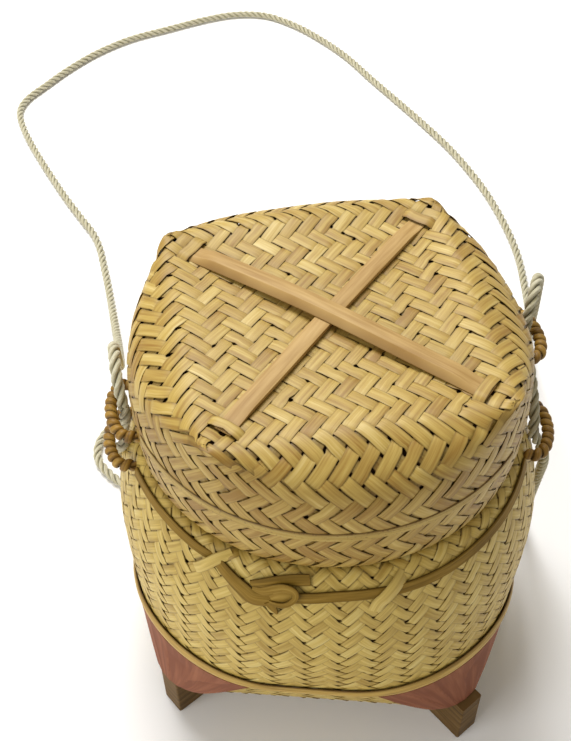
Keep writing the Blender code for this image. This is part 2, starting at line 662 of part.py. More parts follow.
def make_ear(name, ear, parent):
    """A cane core and its wrapping: one unbroken strip wound round it."""
    sides = 6
    count = 13
    rings = []
    for step in range(count + 1):
        distance = ear.length * step / count
        rings.append([ear.around(distance, 2 * math.pi * i / sides, EAR_CORE_RADIUS) for i in range(sides)])
    add_object(f"{name}_core", loft(rings), "Ear cane", parent)

    points = 10
    low = EAR_CORE_RADIUS + WRAP_CLEAR
    high = low + WRAP_THICKNESS
    width = WRAP_PITCH - WRAP_SPACE
    margin = width / 2 + WRAP_END_SPACE
    turns = int((ear.length - 2 * margin) / WRAP_PITCH)
    start = (ear.length - turns * WRAP_PITCH) / 2
    rings = []
    for step in range(turns * points + 1):
        angle = 2 * math.pi * step / points
        centre = start + WRAP_PITCH * step / points
        rings.append([
            ear.around(centre - width / 2, angle, low), ear.around(centre + width / 2, angle, low),
            ear.around(centre + width * WRAP_FLAT_SHARE, angle, high - WRAP_CROWN), ear.around(centre, angle, high + WRAP_CROWN),
            ear.around(centre - width * WRAP_FLAT_SHARE, angle, high - WRAP_CROWN),
        ])
    add_object(f"{name}_wrap", loft(rings), "Ear cane", parent, smooth_angle=50)
    gap = least_gap_of_turns(ear, start, turns, points, width, low)
    print(f"{name}: {turns} turns, least gap between turns {gap * 1000:.2f} mm")


def make_ears(body, lid):
    half_tube = ear_tube_radius()
    for side, bearing in BODY_EAR_BEARINGS.items():
        wall = body_section(BODY_EAR_HEIGHT - half_tube)[0]
        make_ear(f"body_ear_{side}", Ear(bearing, BODY_EAR_HEIGHT, wall), body)
    for side, bearing in LID_EAR_BEARINGS.items():
        height = LID_EAR_HEIGHTS[side]
        levels = (height - half_tube, height, height + half_tube)
        turned = bearing - math.degrees(LID_TURN)
        wall = max(section_radius(*lid_section(level), turned) for level in levels)
        make_ear(f"lid_ear_{side}", Ear(bearing, height, wall), lid)


def smooth_chain(points):
    """Close points on a Catmull-Rom curve through the route's own points, and their lengths."""
    knots = [points[0] * 2 - points[1]] + points + [points[-1] * 2 - points[-2]]
    dense = []
    marks = []
    for i in range(1, len(knots) - 2):
        a, b, c, d = knots[i - 1:i + 3]
        marks.append(len(dense))
        for step in range(16):
            t = step / 16
            spot = 0.5 * (2 * b + (c - a) * t + (2 * a - 5 * b + 4 * c - d) * t * t
                          + (3 * b - a - 3 * c + d) * t ** 3)
            spot.z = max(spot.z, ROPE_DIAMETER / 2 + GAP / 2)
            dense.append(spot)
    marks.append(len(dense))
    dense.append(points[-1])
    lengths = [0.0]
    for a, b in zip(dense, dense[1:]):
        lengths.append(lengths[-1] + (b - a).length)
    return dense, lengths, [lengths[mark] for mark in marks]


def make_rope(parent):
    """One rope in stretches: through the ears, down to the floor and back round the basket."""
    chain = []
    ends = [0]
    for points in ROPE_ROUTES.values():
        chain += [Vector(point) * 0.001 for point in points]
        ends.append(len(chain) - 1)
    dense, lengths, marks = smooth_chain(chain)

    def at(distance):
        i = next((k for k in range(1, len(lengths)) if lengths[k] >= distance), len(lengths) - 1)
        part = (distance - lengths[i - 1]) / (lengths[i] - lengths[i - 1])
        return dense[i - 1].lerp(dense[i], part)

    total = lengths[-1]
    square_end = ROPE_DIAMETER / 2
    # Points lie closer together where the rope bends: measure grows with length and with turning
    measure = [0.0, 0.0]
    for a, b, c in zip(dense, dense[1:], dense[2:]):
        turning = (b - a).angle(c - b, 0.0) if (b - a).length > 0 and (c - b).length > 0 else 0.0
        measure.append(measure[-1] + (c - b).length / ROPE_STRAIGHT_STEP + turning / ROPE_BEND_STEP)

    def spread(low, high):
        inside = [k for k in range(len(lengths)) if low < lengths[k] < high]
        if not inside:
            return []
        whole = measure[inside[-1]] - measure[inside[0]]
        count = max(round(whole), 1)
        goals = [measure[inside[0]] + whole * i / count for i in range(1, count)]
        return [dense[next(k for k in inside if measure[k] >= goal)] for goal in goals]

    for name, first, last in zip(ROPE_ROUTES, ends, ends[1:]):
        start = marks[first] + (GAP / 2 if first else 0.0)
        end = marks[last] - (GAP / 2 if last < len(chain) - 1 else 0.0)
        heading = (at(min(start + GAP, total)) - at(max(start - GAP, 0.0))).normalized()
        leaving = (at(min(end + GAP, total)) - at(max(end - GAP, 0.0))).normalized()
        inner_start, inner_end = start + square_end, end - square_end
        spots = [at(start), at(start) + heading * square_end]
        spots += spread(inner_start + square_end, inner_end - square_end)
        spots += [at(end) - leaving * square_end, at(end)]
        curve = bpy.data.curves.new(name, "CURVE")
        curve.dimensions = "3D"
        curve.bevel_depth = ROPE_DIAMETER / 2
        curve.bevel_resolution = 2
        curve.use_fill_caps = True
        spline = curve.splines.new("POLY")
        spline.points.add(len(spots) - 1)
        for spot, point in zip(spline.points, spots):
            spot.co = (*point, 1.0)
        curve.materials.append(make_material("Cotton rope"))
        stretch = bpy.data.objects.new(name, curve)
        bpy.context.collection.objects.link(stretch)
        stretch.parent = parent
    print(f"rope: {total * 1000:.0f} mm in all")

    rings = []
    sides = 10
    for share, size in ROPE_KNOT_PROFILE:
        x = KNOT_CENTRE[0] + ROPE_KNOT_LENGTH * (share - 0.5)
        ring = []
        for i in range(sides):
            turn = 2 * math.pi * i / sides
            radius = ROPE_KNOT_RADIUS * size
            ring.append(Vector((x, KNOT_CENTRE[1] + radius * math.cos(turn),
                                ROPE_KNOT_RADIUS + GAP + radius * math.sin(turn))))
        rings.append(ring)
    add_object("rope_knot", loft(rings), "Cotton rope", parent)


def main():
    clear_scene()
    body = bpy.data.objects.new("body_axis", None)
    lid = bpy.data.objects.new("lid_axis", None)
    bpy.context.collection.objects.link(body)
    bpy.context.collection.objects.link(lid)
    make_boards(body)
    make_body(body)
    make_bindings(body)
    make_hoop(body)
    make_belt(body)
    make_knot(body)
    make_lid(lid)
    make_bars(lid)
    make_ears(body, lid)
    make_rope(body)


main()
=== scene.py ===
import math

import bpy
import numpy as np
from mathutils import Matrix, Vector


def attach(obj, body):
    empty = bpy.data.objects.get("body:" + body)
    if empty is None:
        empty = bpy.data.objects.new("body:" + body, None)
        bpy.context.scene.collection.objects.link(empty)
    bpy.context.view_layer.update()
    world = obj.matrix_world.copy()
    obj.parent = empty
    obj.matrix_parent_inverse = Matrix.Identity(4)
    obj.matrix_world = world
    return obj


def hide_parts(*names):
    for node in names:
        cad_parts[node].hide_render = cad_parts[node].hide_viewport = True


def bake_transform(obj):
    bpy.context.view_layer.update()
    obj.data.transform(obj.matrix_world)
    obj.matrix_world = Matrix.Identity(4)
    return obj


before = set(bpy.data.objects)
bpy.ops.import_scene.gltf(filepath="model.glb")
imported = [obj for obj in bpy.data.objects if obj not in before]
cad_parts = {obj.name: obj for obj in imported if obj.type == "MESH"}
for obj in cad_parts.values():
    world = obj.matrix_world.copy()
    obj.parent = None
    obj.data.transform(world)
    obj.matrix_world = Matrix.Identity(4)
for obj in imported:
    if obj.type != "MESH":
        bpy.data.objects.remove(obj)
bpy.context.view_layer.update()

rng = np.random.default_rng(7)


def say(stage):
    print("basket:", stage)


# Colours and node helper
def hexColour(code):
    parts = [int(code[i:i + 2], 16) / 255 for i in (1, 3, 5)]
    return [c / 12.92 if c <= 0.04045 else ((c + 0.055) / 1.055) ** 2.4 for c in parts] + [1.0]


def addNode(tree, kind, inputs=None, stops=(), **settings):
    # stops are a colour ramp's places, each with a hex colour or a grey
    node = tree.nodes.new("ShaderNode" + kind)
    for name, value in settings.items():
        setattr(node, name, value)
    for name, value in (inputs or {}).items():
        if isinstance(value, bpy.types.NodeSocket):
            tree.links.new(value, node.inputs[name])
        else:
            node.inputs[name].default_value = value
    while stops and len(node.color_ramp.elements) < len(stops):
        node.color_ramp.elements.new(0.5)
    for i, (place, code) in enumerate(stops):
        element = node.color_ramp.elements[i]
        element.position = place
        element.color = hexColour(code) if isinstance(code, str) else (code, code, code, 1.0)
    return node


def newMaterial(name, roughness, **shaderValues):
    material = bpy.data.materials.new(name)
    material.use_nodes = True
    tree = material.node_tree
    shader = tree.nodes["Principled BSDF"]
    shader.inputs["Roughness"].default_value = roughness
    for socket, value in shaderValues.items():
        shader.inputs[socket.replace("_", " ")].default_value = value
    return material, tree, shader


# Materials
# Split bamboo and cane: the culm's skin cut to thin strips. Fibres 0.8 mm wide and streaks 2 mm wide run along
# each strip, and its edges and underside are painted towards the gap colour as shade. UV is in millimetres, along the
# strip and across
def stripMaterial(name, light, middle, dark, gap, roughness=0.56, fibre=0.50, specular=0.28, specks=0.0):
    material, tree, shader = newMaterial(name, roughness, Specular_IOR_Level=specular)
    uv = addNode(tree, "UVMap", uv_map="strip").outputs["UV"]
    # tone: random tone of each strip, plus painted shade on the lid's walls and across the binding's pleats; edge:
    # painted shade
    tone = addNode(tree, "Attribute", attribute_name="tone").outputs["Fac"]
    edge = addNode(tree, "Attribute", attribute_name="edge").outputs["Fac"]
    place = addNode(tree, "Mapping", {"Vector": uv, "Scale": (0.026, 1.25, 1.0)}).outputs["Vector"]
    fine = addNode(tree, "TexNoise", {"Vector": place, "Scale": 1.0, "Detail": 3.0, "Roughness": 0.6}).outputs["Fac"]
    place = addNode(tree, "Mapping", {"Vector": uv, "Scale": (0.045, 0.5, 1.0)}).outputs["Vector"]
    streaks = addNode(tree, "TexNoise", {"Vector": place, "Scale": 1.0, "Detail": 2.0}).outputs["Fac"]
    mixed = addNode(tree, "Math", {0: fine, 1: fibre}, operation="MULTIPLY").outputs[0]
    for part, share in ((streaks, 0.53), (tone, 0.75)):
        mixed = addNode(tree, "Math", {0: part, 1: share, 2: mixed}, operation="MULTIPLY_ADD").outputs[0]
    colour = addNode(tree, "ValToRGB", {"Fac": mixed}, [(0.30, dark), (0.54, middle), (0.80, light)]).outputs["Color"]
    shadeAndSpecks = [edge]
    if specks:
        spots = addNode(tree, "TexNoise", {"Vector": uv, "Scale": 0.9, "Detail": 2.0}).outputs["Fac"]
        marks = addNode(tree, "ValToRGB", {"Fac": spots}, [(0.58, 0.0), (0.68, specks)])
        shadeAndSpecks.insert(0, marks.outputs["Color"])
    # mixes in the gap colour: painted shade by the edge attribute, and the real specks
    for factor in shadeAndSpecks:
        colour = addNode(tree, "Mix", {"Factor": factor, "A": colour, "B": hexColour(gap)},
                         data_type="RGBA").outputs["Result"]
    tree.links.new(colour, shader.inputs["Base Color"])
    bump = addNode(tree, "Bump", {"Height": fine, "Strength": 0.3, "Distance": 0.0001})
    tree.links.new(bump.outputs["Normal"], shader.inputs["Normal"])
    return material


# Satin golden strips with brown streaks, plaited
lidBamboo = stripMaterial("splitBambooLid", "#D8C382", "#B79B50", "#906D2A", "#58400F", roughness=0.48, fibre=0.42,
                          specular=0.33)
# Greener and paler strips with less wear, plaited
bodyBamboo = stripMaterial("splitBambooBody", "#E2D28C", "#C8AD5A", "#A18336", "#5E4618", roughness=0.5, fibre=0.42,
                           specular=0.34)
# Inner culm, duller and browner, plaited
neckBamboo = stripMaterial("splitBambooInner", "#D9C48C", "#B8985C", "#8E6C38", "#3E2412")
# Scraped strip with dark specks along it
lidEdgeBamboo = stripMaterial("speckledBambooStrip", "#C8B26E", "#AE934C", "#8E702C", "#4E3014", specks=0.45)
# Planed slat, smooth and pinkish, with quiet fibres
slatBamboo = stripMaterial("smoothBambooSlat", "#CBAE7A", "#B7965C", "#9B7840", "#6E5024", roughness=0.52, fibre=0.34)
# Rounded split hoop with its glossy skin, yellow
hoopBamboo = stripMaterial("smoothBambooHoop", "#DABC6C", "#BC9A4C", "#86662A", "#4A3014", roughness=0.5)
# Old flat cane, matt olive brown
beltCane = stripMaterial("flatBrownCane", "#A88A40", "#866822", "#5E460E", "#2E2008", roughness=0.62, specular=0.15)
# Cane wound on a core, shiny brown beads
earCane = stripMaterial("woundCane", "#BE9A48", "#94702A", "#644616", "#36220A", roughness=0.5)
# Dyed flat binding, dry brick red with faint fibres
redStrip = stripMaterial("dyedCaneBinding", "#B67C58", "#A0684A", "#7C4A34", "#321A14", roughness=0.72, fibre=0.15,
                         specular=0.2)


# Matt materials with one noise, on the strip UV in mm where the edge attribute mixes in painted shade of the edge
# colour, or else on the object in m
def noiseMaterial(name, roughness, stretch, stops, scale=1.0, detail=4.0, grit=0.6, bump=(), edge=None,
                  **shaderValues):
    material, tree, shader = newMaterial(name, roughness, **shaderValues)
    if edge:
        place = addNode(tree, "UVMap", uv_map="strip").outputs["UV"]
    else:
        place = addNode(tree, "TexCoord").outputs["Object"]
    place = addNode(tree, "Mapping", {"Vector": place, "Scale": stretch}).outputs["Vector"]
    noise = addNode(tree, "TexNoise", {"Vector": place, "Scale": scale, "Detail": detail, "Roughness": grit})
    colour = addNode(tree, "ValToRGB", {"Fac": noise.outputs["Fac"]}, stops).outputs["Color"]
    if edge:
        shade = addNode(tree, "Attribute", attribute_name="edge").outputs["Fac"]
        colour = addNode(tree, "Mix", {"Factor": shade, "A": colour, "B": hexColour(edge)},
                         data_type="RGBA").outputs["Result"]
    tree.links.new(colour, shader.inputs["Base Color"])
    if bump:
        bump = addNode(tree, "Bump", {"Height": noise.outputs["Fac"], "Strength": bump[0], "Distance": bump[1]})
        tree.links.new(bump.outputs["Normal"], shader.inputs["Normal"])
    return material


# Twisted cotton: dull off-white, yarns 0.6 mm thick run along each strand, with painted shade where strands meet
cotton = noiseMaterial("twistedCotton", 0.92, (0.25, 1.6, 1.0),
                       [(0.3, "#A39C78"), (0.55, "#C9C3A8"), (0.8, "#DEDAC6")], grit=0.65, bump=(0.6, 0.0002),
                       edge="#7C7552", Specular_IOR_Level=0.15, Sheen_Weight=0.35)
# Old sawn hardwood: dark brown, matt, grain 2 mm high lies along the board
boardWood = noiseMaterial("darkSawnHardwood", 0.68, (30.0, 30.0, 420.0),
                          [(0.3, "#40300F"), (0.55, "#64491F"), (0.8, "#7A6440")], bump=(0.5, 0.0004),
                          Specular_IOR_Level=0.3)
# Inner plaited bamboo: matt and brown, blotches 4 mm wide, painted dark as the shade seen in the gaps of the plait
liningBambooWithShade = noiseMaterial("innerPlaitedBambooShaded", 0.7, (1.0, 1.0, 1.0),
                             [(0.3, "#3B2412"), (0.6, "#6B4C28"), (0.85, "#87683A")], scale=260.0, detail=3.0,
                             grit=0.5, Specular_IOR_Level=0.25)

# Camera, floor and light
camera = {
    "place": (0.0112, -0.3057, 0.4993),
    "azimuth": 5.384,
    "elevation": 47.538,
    "roll": -0.947,
    "lens": 70.815,
}


def addCamera():
    data = bpy.data.cameras.new("camera")
    data.lens = camera["lens"]
    data.sensor_width = 36.0
    data.sensor_fit = "HORIZONTAL"
    data.clip_start = 0.01
    eye = bpy.data.objects.new("camera", data)
    bpy.context.scene.collection.objects.link(eye)
    azimuth, elevation, roll = (math.radians(camera[k]) for k in ("azimuth", "elevation", "roll"))
    eye.matrix_world = (Matrix.Translation(camera["place"]) @ Matrix.Rotation(azimuth, 4, "Z")
                        @ Matrix.Rotation(math.pi / 2 - elevation, 4, "X") @ Matrix.Rotation(roll, 4, "Z"))
    bpy.context.scene.camera = eye


light = {
    "key": {"place": (-0.30, 0.66, 1.43), "size": 0.9, "power": 24.5},
    "fill": {"place": (-1.2, -1.05, 0.75), "size": 1.2, "power": 13.0},
    "worldStrength": 0.34,
    "aim": (0.0, 0.0, 0.1),
}


def addLights():
    for name in ("key", "fill"):
        spec = light[name]
        data = bpy.data.lights.new(name, "AREA")
        data.shape = "DISK"
        data.size = spec["size"]
        data.energy = spec["power"]
        lamp = bpy.data.objects.new(name, data)
        bpy.context.scene.collection.objects.link(lamp)
        lamp.location = spec["place"]
        aim = Vector(light["aim"]) - lamp.location
        lamp.rotation_euler = aim.to_track_quat("-Z", "Y").to_euler()
    world = bpy.data.worlds.new("studio")
    bpy.context.scene.world = world
    world.use_nodes = True
    tree = world.node_tree
    plain = tree.nodes["Background"]
    plain.inputs["Color"].default_value = hexColour("#FFF8EC")
    plain.inputs["Strength"].default_value = light["worldStrength"]
    white = addNode(tree, "Background", {"Color": (1, 1, 1, 1), "Strength": 1.0})
    path = addNode(tree, "LightPath")
    seen = addNode(tree, "Math", {0: path.outputs["Is Camera Ray"], 1: path.outputs["Is Glossy Ray"]},
                   operation="MAXIMUM").outputs[0]
    seen = addNode(tree, "Math", {0: seen, 1: path.outputs["Is Transmission Ray"]}, operation="MAXIMUM").outputs[0]
    mixer = addNode(tree, "MixShader", {0: seen, 1: plain.outputs[0], 2: white.outputs[0]})
    tree.links.new(mixer.outputs[0], tree.nodes["World Output"].inputs["Surface"])
    bpy.context.scene.view_settings.view_transform = "Standard"


stageFloor = {"side": 6.0, "drop": 0.0003, "colour": "#FFFFFF"}


def addFloor():
    bpy.ops.object.select_all(action="DESELECT")
    bpy.ops.mesh.primitive_plane_add(size=stageFloor["side"], location=(0, 0, -stageFloor["drop"]))
    floor = bpy.context.active_object
    floor.name = "floor"
    material, tree, shader = newMaterial("paleStudioFloor", 0.9, Specular_IOR_Level=0.0)
    shader.inputs["Base Color"].default_value = hexColour(stageFloor["colour"])
    floor.data.materials.append(material)


addCamera()
addLights()
addFloor()
say("camera, floor and light are set")


# Sections of the basket, as in the solids
basket = {
    "boardHeight": 0.0270, "gap": 0.0003, "loose": 0.0007,
    "baseSide": 0.1476, "baseDiagonal": 0.1860, "bellyDiameter": 0.1830, "bellyHeight": 0.0930,
    "shoulderDiameter": 0.1606, "shoulderHeight": 0.1406, "shoulderRound": 0.0014, "neckDiameter": 0.1484,
    "neckHeight": 0.1630, "neckFoot": 0.1290, "liningNeckFoot": 0.1312, "liningShoulder": 0.1275,
}
lid = {
    "turn": math.radians(15.17), "seat": 0.0004, "rimDiameter": 0.1574, "bandDiameter": 0.1606,
    "bandHeight": 0.1570, "topSide": 0.1150, "topDiagonal": 0.1580, "topHeight": 0.1980, "curve": 5.2,
    "dish": 0.0026, "dishReach": 0.020, "backRise": 0.0022, "backRiseFrom": 0.05, "backRiseDepth": 0.03,
    "wall": 0.0020, "lining": 0.0012,
}


def sectionRadius(half, diagonal, bearing):
    # radius of a square with rounded corners, at bearings in radians from the middle of a side
    corner = min(max((math.sqrt(2) * half - diagonal) / (math.sqrt(2) - 1), 0.0), half)
    flat = half - corner
    angle = np.mod(bearing, math.pi / 2)
    angle = np.minimum(angle, math.pi / 2 - angle)
    reach = flat * (np.cos(angle) + np.sin(angle))
    rounded = reach + np.sqrt(np.maximum(reach ** 2 - 2 * flat ** 2 + corner ** 2, 0.0))
    return np.where(half * np.tan(angle) <= flat, half / np.cos(angle), rounded)


def bodySection(height):
    belly = basket["bellyDiameter"] / 2
    bottom = basket["boardHeight"] + basket["gap"]
    if height <= basket["bellyHeight"]:
        share = max(height - bottom, 0.0) / (basket["bellyHeight"] - bottom)
        swell = 0.35 * share + 0.65 * math.sin(share * math.pi / 2)
        half = basket["baseSide"] / 2 + (belly - basket["baseSide"] / 2) * swell
        diagonal = basket["baseDiagonal"] / 2 + (belly - basket["baseDiagonal"] / 2) * share
        return half, max(diagonal, half)
    share = (height - basket["bellyHeight"]) / (basket["shoulderHeight"] - basket["bellyHeight"])
    radius = belly - (belly - basket["shoulderDiameter"] / 2) * share ** 2
    return radius, radius


def lidSection(height):
    band = lid["bandDiameter"] / 2
    rim = basket["shoulderHeight"] + lid["seat"]
    if height <= lid["bandHeight"]:
        share = (height - rim) / (lid["bandHeight"] - rim)
        radius = lid["rimDiameter"] / 2 + (band - lid["rimDiameter"] / 2) * share
        return radius, radius
    share = (height - lid["bandHeight"]) / (lid["topHeight"] - lid["bandHeight"])
    half = band - (band - lid["topSide"] / 2) * share ** lid["curve"]
    diagonal = band - (band - lid["topDiagonal"] / 2) * share
    return half, max(diagonal, half)


def unit(vectors):
    return vectors / np.maximum(np.linalg.norm(vectors, axis=-1, keepdims=True), 1e-12)


def distances(points):
    # running length along a line of points
    return np.concatenate([[0.0], np.cumsum(np.linalg.norm(np.diff(points, axis=0), axis=1))])


def resample(points, count):
    # count + 1 points at equal distances on the line, and the line's length
    lengths = distances(points)
    goals = np.linspace(0.0, lengths[-1], count + 1)
    return np.stack([np.interp(goals, lengths, axis) for axis in points.T], axis=1), lengths[-1]


def throughPoints(points, steps=16):
    # Catmull-Rom curve through the points
    knots = np.concatenate([[points[0] * 2 - points[1]], points, [points[-1] * 2 - points[-2]]])
    t = (np.arange(steps) / steps)[:, None]
    spots = []
    for i in range(1, len(knots) - 2):
        a, b, c, d = knots[i - 1:i + 3]
        spots.append(0.5 * (2 * b + (c - a) * t + (2 * a - 5 * b + 4 * c - d) * t * t
                            + (3 * b - a - 3 * c + d) * t ** 3))
    return np.concatenate(spots + [points[-1:]])


def turned(points, angle):
    c, s = math.cos(angle), math.sin(angle)
    x, y, z = points.T
    return np.stack([c * x - s * y, s * x + c * y, z], axis=1)


def addPiece(name, points, faces):
    mesh = bpy.data.meshes.new(name)
    mesh.from_pydata(points.tolist(), [], faces)
    piece = bpy.data.objects.new(name, mesh)
    bpy.context.scene.collection.objects.link(piece)
    return piece


def finishPiece(piece, material, body, nodes=(), sharp=38):
    piece.data.shade_smooth()
    piece.data.set_sharp_from_angle(angle=math.radians(sharp))
    piece.data.materials.append(material)
    if body:
        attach(piece, body)
    if nodes:
        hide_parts(*nodes)
    return piece


def paintStrips(mesh, uvs, tones, edges):
    # what stripMaterial reads at each vertex: UV in mm, tone, and the shade near a strip's edges
    loops = np.zeros(len(mesh.loops), np.int32)
    mesh.loops.foreach_get("vertex_index", loops)
    mesh.uv_layers.new(name="strip").data.foreach_set("uv", uvs[loops].astype(np.float32).ravel())
    for title, values in (("tone", tones), ("edge", edges)):
        mesh.attributes.new(title, "FLOAT", "POINT").data.foreach_set("value", np.asarray(values, np.float32))


# Many closed ribbons in one mesh
class StripMesh:
    def __init__(self):
        self.points, self.faces, self.uvs, self.tones, self.edges = [], [], [], [], []
        self.count = 0

    def add(self, centre, across, up, halfWidth, section, tone, shade=0.0, start=0.0):
        # section: (share of the half width, height, edge shade) round the strip, top first. start moves the
        # strip to a part of the pattern of its own
        shares, rises, marks = np.array(section).T
        rings, sides = len(centre), len(section)
        offsets = shares[None, :] * np.broadcast_to(halfWidth, (rings,))[:, None]
        spots = centre[:, None, :] + across[:, None, :] * offsets[:, :, None] + up[:, None, :] * rises[None, :, None]
        along = np.broadcast_to((distances(centre) + start)[:, None] * 1000, offsets.shape)
        uv = np.stack([along, offsets * 1000 + start * 531.7], axis=2)
        grid = self.count + np.arange(rings * sides).reshape(rings, sides)
        a, b = grid[:-1], grid[1:]
        quads = np.stack([a, np.roll(a, -1, 1), np.roll(b, -1, 1), b], axis=2).reshape(-1, 4)
        self.faces += quads.tolist() + [grid[0][::-1].tolist(), grid[-1].tolist()]
        self.points.append(spots.reshape(-1, 3))
        self.uvs.append(uv.reshape(-1, 2))
        tones, shades = (np.broadcast_to(np.asarray(v).reshape(-1, 1), offsets.shape) for v in (tone, shade))
        self.tones.append(tones.reshape(-1))
        self.edges.append(np.clip(marks[None, :] + shades, 0, 1).reshape(-1))
        self.count += rings * sides

    def build(self, name, material, body, slot, nodes=(), sharp=38):
        piece = addPiece(name, np.concatenate(self.points), self.faces)
        paintStrips(piece.data, *(np.concatenate(values) for values in (self.uvs, self.tones, self.edges)))
        return finishPiece(piece, material, body, nodes, sharp)


# The slats draw the lid's top down a little between its corners
def dishDrop(share, corner, depthBelow):
    fade = (1 - np.clip(depthBelow / lid["dishReach"], 0.0, 1.0)) ** 2
    corner = np.clip(corner, 0.0, 1.0)
    return lid["dish"] * fade * (1 - share ** 12 * corner ** 4) * (1 - share ** 3 * (1 - corner))


# How far hand work strays: lengths in metres, the wave in radians for each cell, the width as a share
stray = {"aside": 0.00012, "wave": 0.35, "lift": 0.00004, "width": 0.03}


# A square of crossing strips that goes over its four edges into a wall. k counts rows of crossings from the
# centre, m along each side, both in half diagonals of a cell
class Plait:
    def __init__(self, spec, section, levels, turn, upwards):
        # upwards is +1 where the square is on top and -1 where it is underneath
        self.spec, self.side, self.turn, self.upwards = spec, spec["side"], turn, upwards
        self.count = 24 * self.side
        eighth = self.count // 8
        fine = np.linspace(0.0, 2 * math.pi, 2881)
        rings, perimeters = [], []
        for level in levels:
            z, half, diagonal = level if isinstance(level, tuple) else (level, *section(level))
            radius = sectionRadius(half, diagonal, fine)
            line = np.stack([radius * np.cos(fine), radius * np.sin(fine), np.full(len(fine), z)], axis=1)
            ring, perimeter = resample(line, self.count)
            rings.append(ring)
            perimeters.append(perimeter)
        self.rings = np.array(rings)
        # rows are as high as the strips' pitch on the wall, measured at a side's middle and at a corner
        rows = [0.0]
        for i in range(1, len(levels)):
            step = np.linalg.norm(self.rings[i, [0, eighth]] - self.rings[i - 1, [0, eighth]], axis=1).sum() / 2
            pitch = (perimeters[i] + perimeters[i - 1]) / 2 / (4 * self.side)
            rows.append(rows[-1] + 2 * step / pitch)
        self.rows = np.array(rows)
        self.last = self.side + self.rows[-1]
        self.corners = self.rings[0, eighth::2 * eighth]

    def ring(self, level, share):
        place = np.mod(share, 1.0) * self.count
        i = np.minimum(place.astype(int), self.count - 1)
        f = (place - i)[:, None]
        low = np.clip(level.astype(int), 0, len(self.rows) - 2)
        g = np.clip(level - low, 0.0, 1.0)[:, None]
        a = self.rings[low, i] * (1 - f) + self.rings[low, i + 1] * f
        b = self.rings[low + 1, i] * (1 - f) + self.rings[low + 1, i + 1] * f
        return a * (1 - g) + b * g

    def zone(self, family, index, t):
        # side of the square, row k and place m along that side, for points t along a strip
        x, y = (index + t, index - t) if family == 0 else (t + index, t - index)
        edge = self.side - abs(index)
        first, second = (((2, 3), (1, 0)), ((2, 1), (3, 0)))[family][index > 0]
        byPlace = np.where(np.abs(x) >= np.abs(y), np.where(x > 0, 0, 2), np.where(y > 0, 1, 3))
        which = np.where(t > edge, second, np.where(t < -edge, first, byPlace))
        return which, np.choose(which, [x, y, -x, -y]), np.choose(which, [y, -x, -y, x])

    def ends(self, index):
        reach = self.last - abs(index)
        return -reach, reach

    def points(self, family, index, t):
        which, k, m = self.zone(family, index, t)
        inside = k < self.side
        reach = np.where(inside, np.maximum(np.abs(k), 1e-6), self.side)
        beyond = np.clip(k - self.side, 0.0, self.rows[-1])
        level = np.interp(beyond, self.rows, np.arange(len(self.rows)))
        spots = self.ring(np.where(inside, 0.0, level), which / 4 + m / reach / 8)
        scale = reach / self.side
        spots = spots * np.stack([scale, scale, np.ones_like(scale)], axis=1)
        if self.spec["dished"]:
            below = lid["topHeight"] - spots[:, 2]
            back = math.sin(self.turn) * spots[:, 0] + math.cos(self.turn) * spots[:, 1]
            rise = lid["backRise"] * scale ** 10 * np.clip(back / lid["backRiseFrom"], 0.0, 1.0)
            rise = rise * np.clip(1 - below / lid["backRiseDepth"], 0.0, 1.0)
            spots[:, 2] += rise - dishDrop(scale, np.abs(m) / reach, below)
        pull = unit(spots * np.array([1.0, 1.0, 0.0])) * self.spec["cornerOut"]
        pull[:, 2] = self.spec["cornerUp"] * self.upwards
        return turned(spots + pull * self.nearCorner(spots, self.spec["cornerReach"])[:, None], self.turn)

    def softened(self, family, index, t):
        # strips are stiff, so they round off the folds of the surface
        reach = self.spec["soften"]
        taps = ((-reach, 0.12), (-reach / 2, 0.23), (0.0, 0.30), (reach / 2, 0.23), (reach, 0.12))
        return sum(w * self.points(family, index, t + d) for d, w in taps)

    def nearCorner(self, spots, reach):
        gaps = np.linalg.norm(spots[:, None, :] - self.corners[None, :, :], axis=2).min(axis=1)
        return np.exp(-(gaps / reach) ** 2)

    def hole(self, a, b):
        # how far the strips draw back from the corner of four cells at whole numbers a, b, by a hash of them
        chance = np.mod(np.sin(a * 12.9898 + b * 78.233) * 43758.5453, 1.0)
        size = np.mod(np.sin(a * 39.346 + b * 11.135) * 24634.6345, 1.0)
        return np.where(chance < self.spec["holeShare"], self.spec["holeSize"] * (0.5 + size), 0.00004)

    def inColumn(self, which, m):
        return np.mod(np.round(m + 2 * self.side * which) - self.spec["columnPhase"], 4)

    def columnHole(self, family, index, t):
        # on the walls of the body the holes stand in columns, at the foot of each V
        which, k, m = self.zone(family, index, t)
        return np.where((self.inColumn(which, m) == 1) & (k > self.side), self.spec["columnHole"], 0.0)

    def cut(self, family, edge, t):
        whole = np.round(t)
        corner = (edge, whole) if family == 0 else (whole, edge)
        drawn = self.hole(*corner) + self.columnHole(family, edge, t)
        return np.where(np.abs(t - whole) < 1e-6, drawn, 0.0)

    def isOver(self, family, index, t):
        which, k, m = self.zone(family, index, t)
        clockwise = which % 2 == family
        rule = np.mod(np.round(k) - self.spec["rowPhase"], 4) < 2
        if self.spec["columns"]:
            rule = np.where(k > self.side, self.inColumn(which, m) < 2, rule)
        over = clockwise == rule
        keeper = self.spec["keeper"]
        if keeper and abs(index) == keeper:
            over = (over | (np.abs(t) <= 0.5)) & (np.abs(t) != 1.5)
        if keeper and abs(index) <= 0.5:
            over = over & (np.abs(t) != keeper)
        if keeper and abs(index) == 1.5:
            over = over | (np.abs(t) == keeper)
        return over

    def heights(self, family, index, t0, t1):
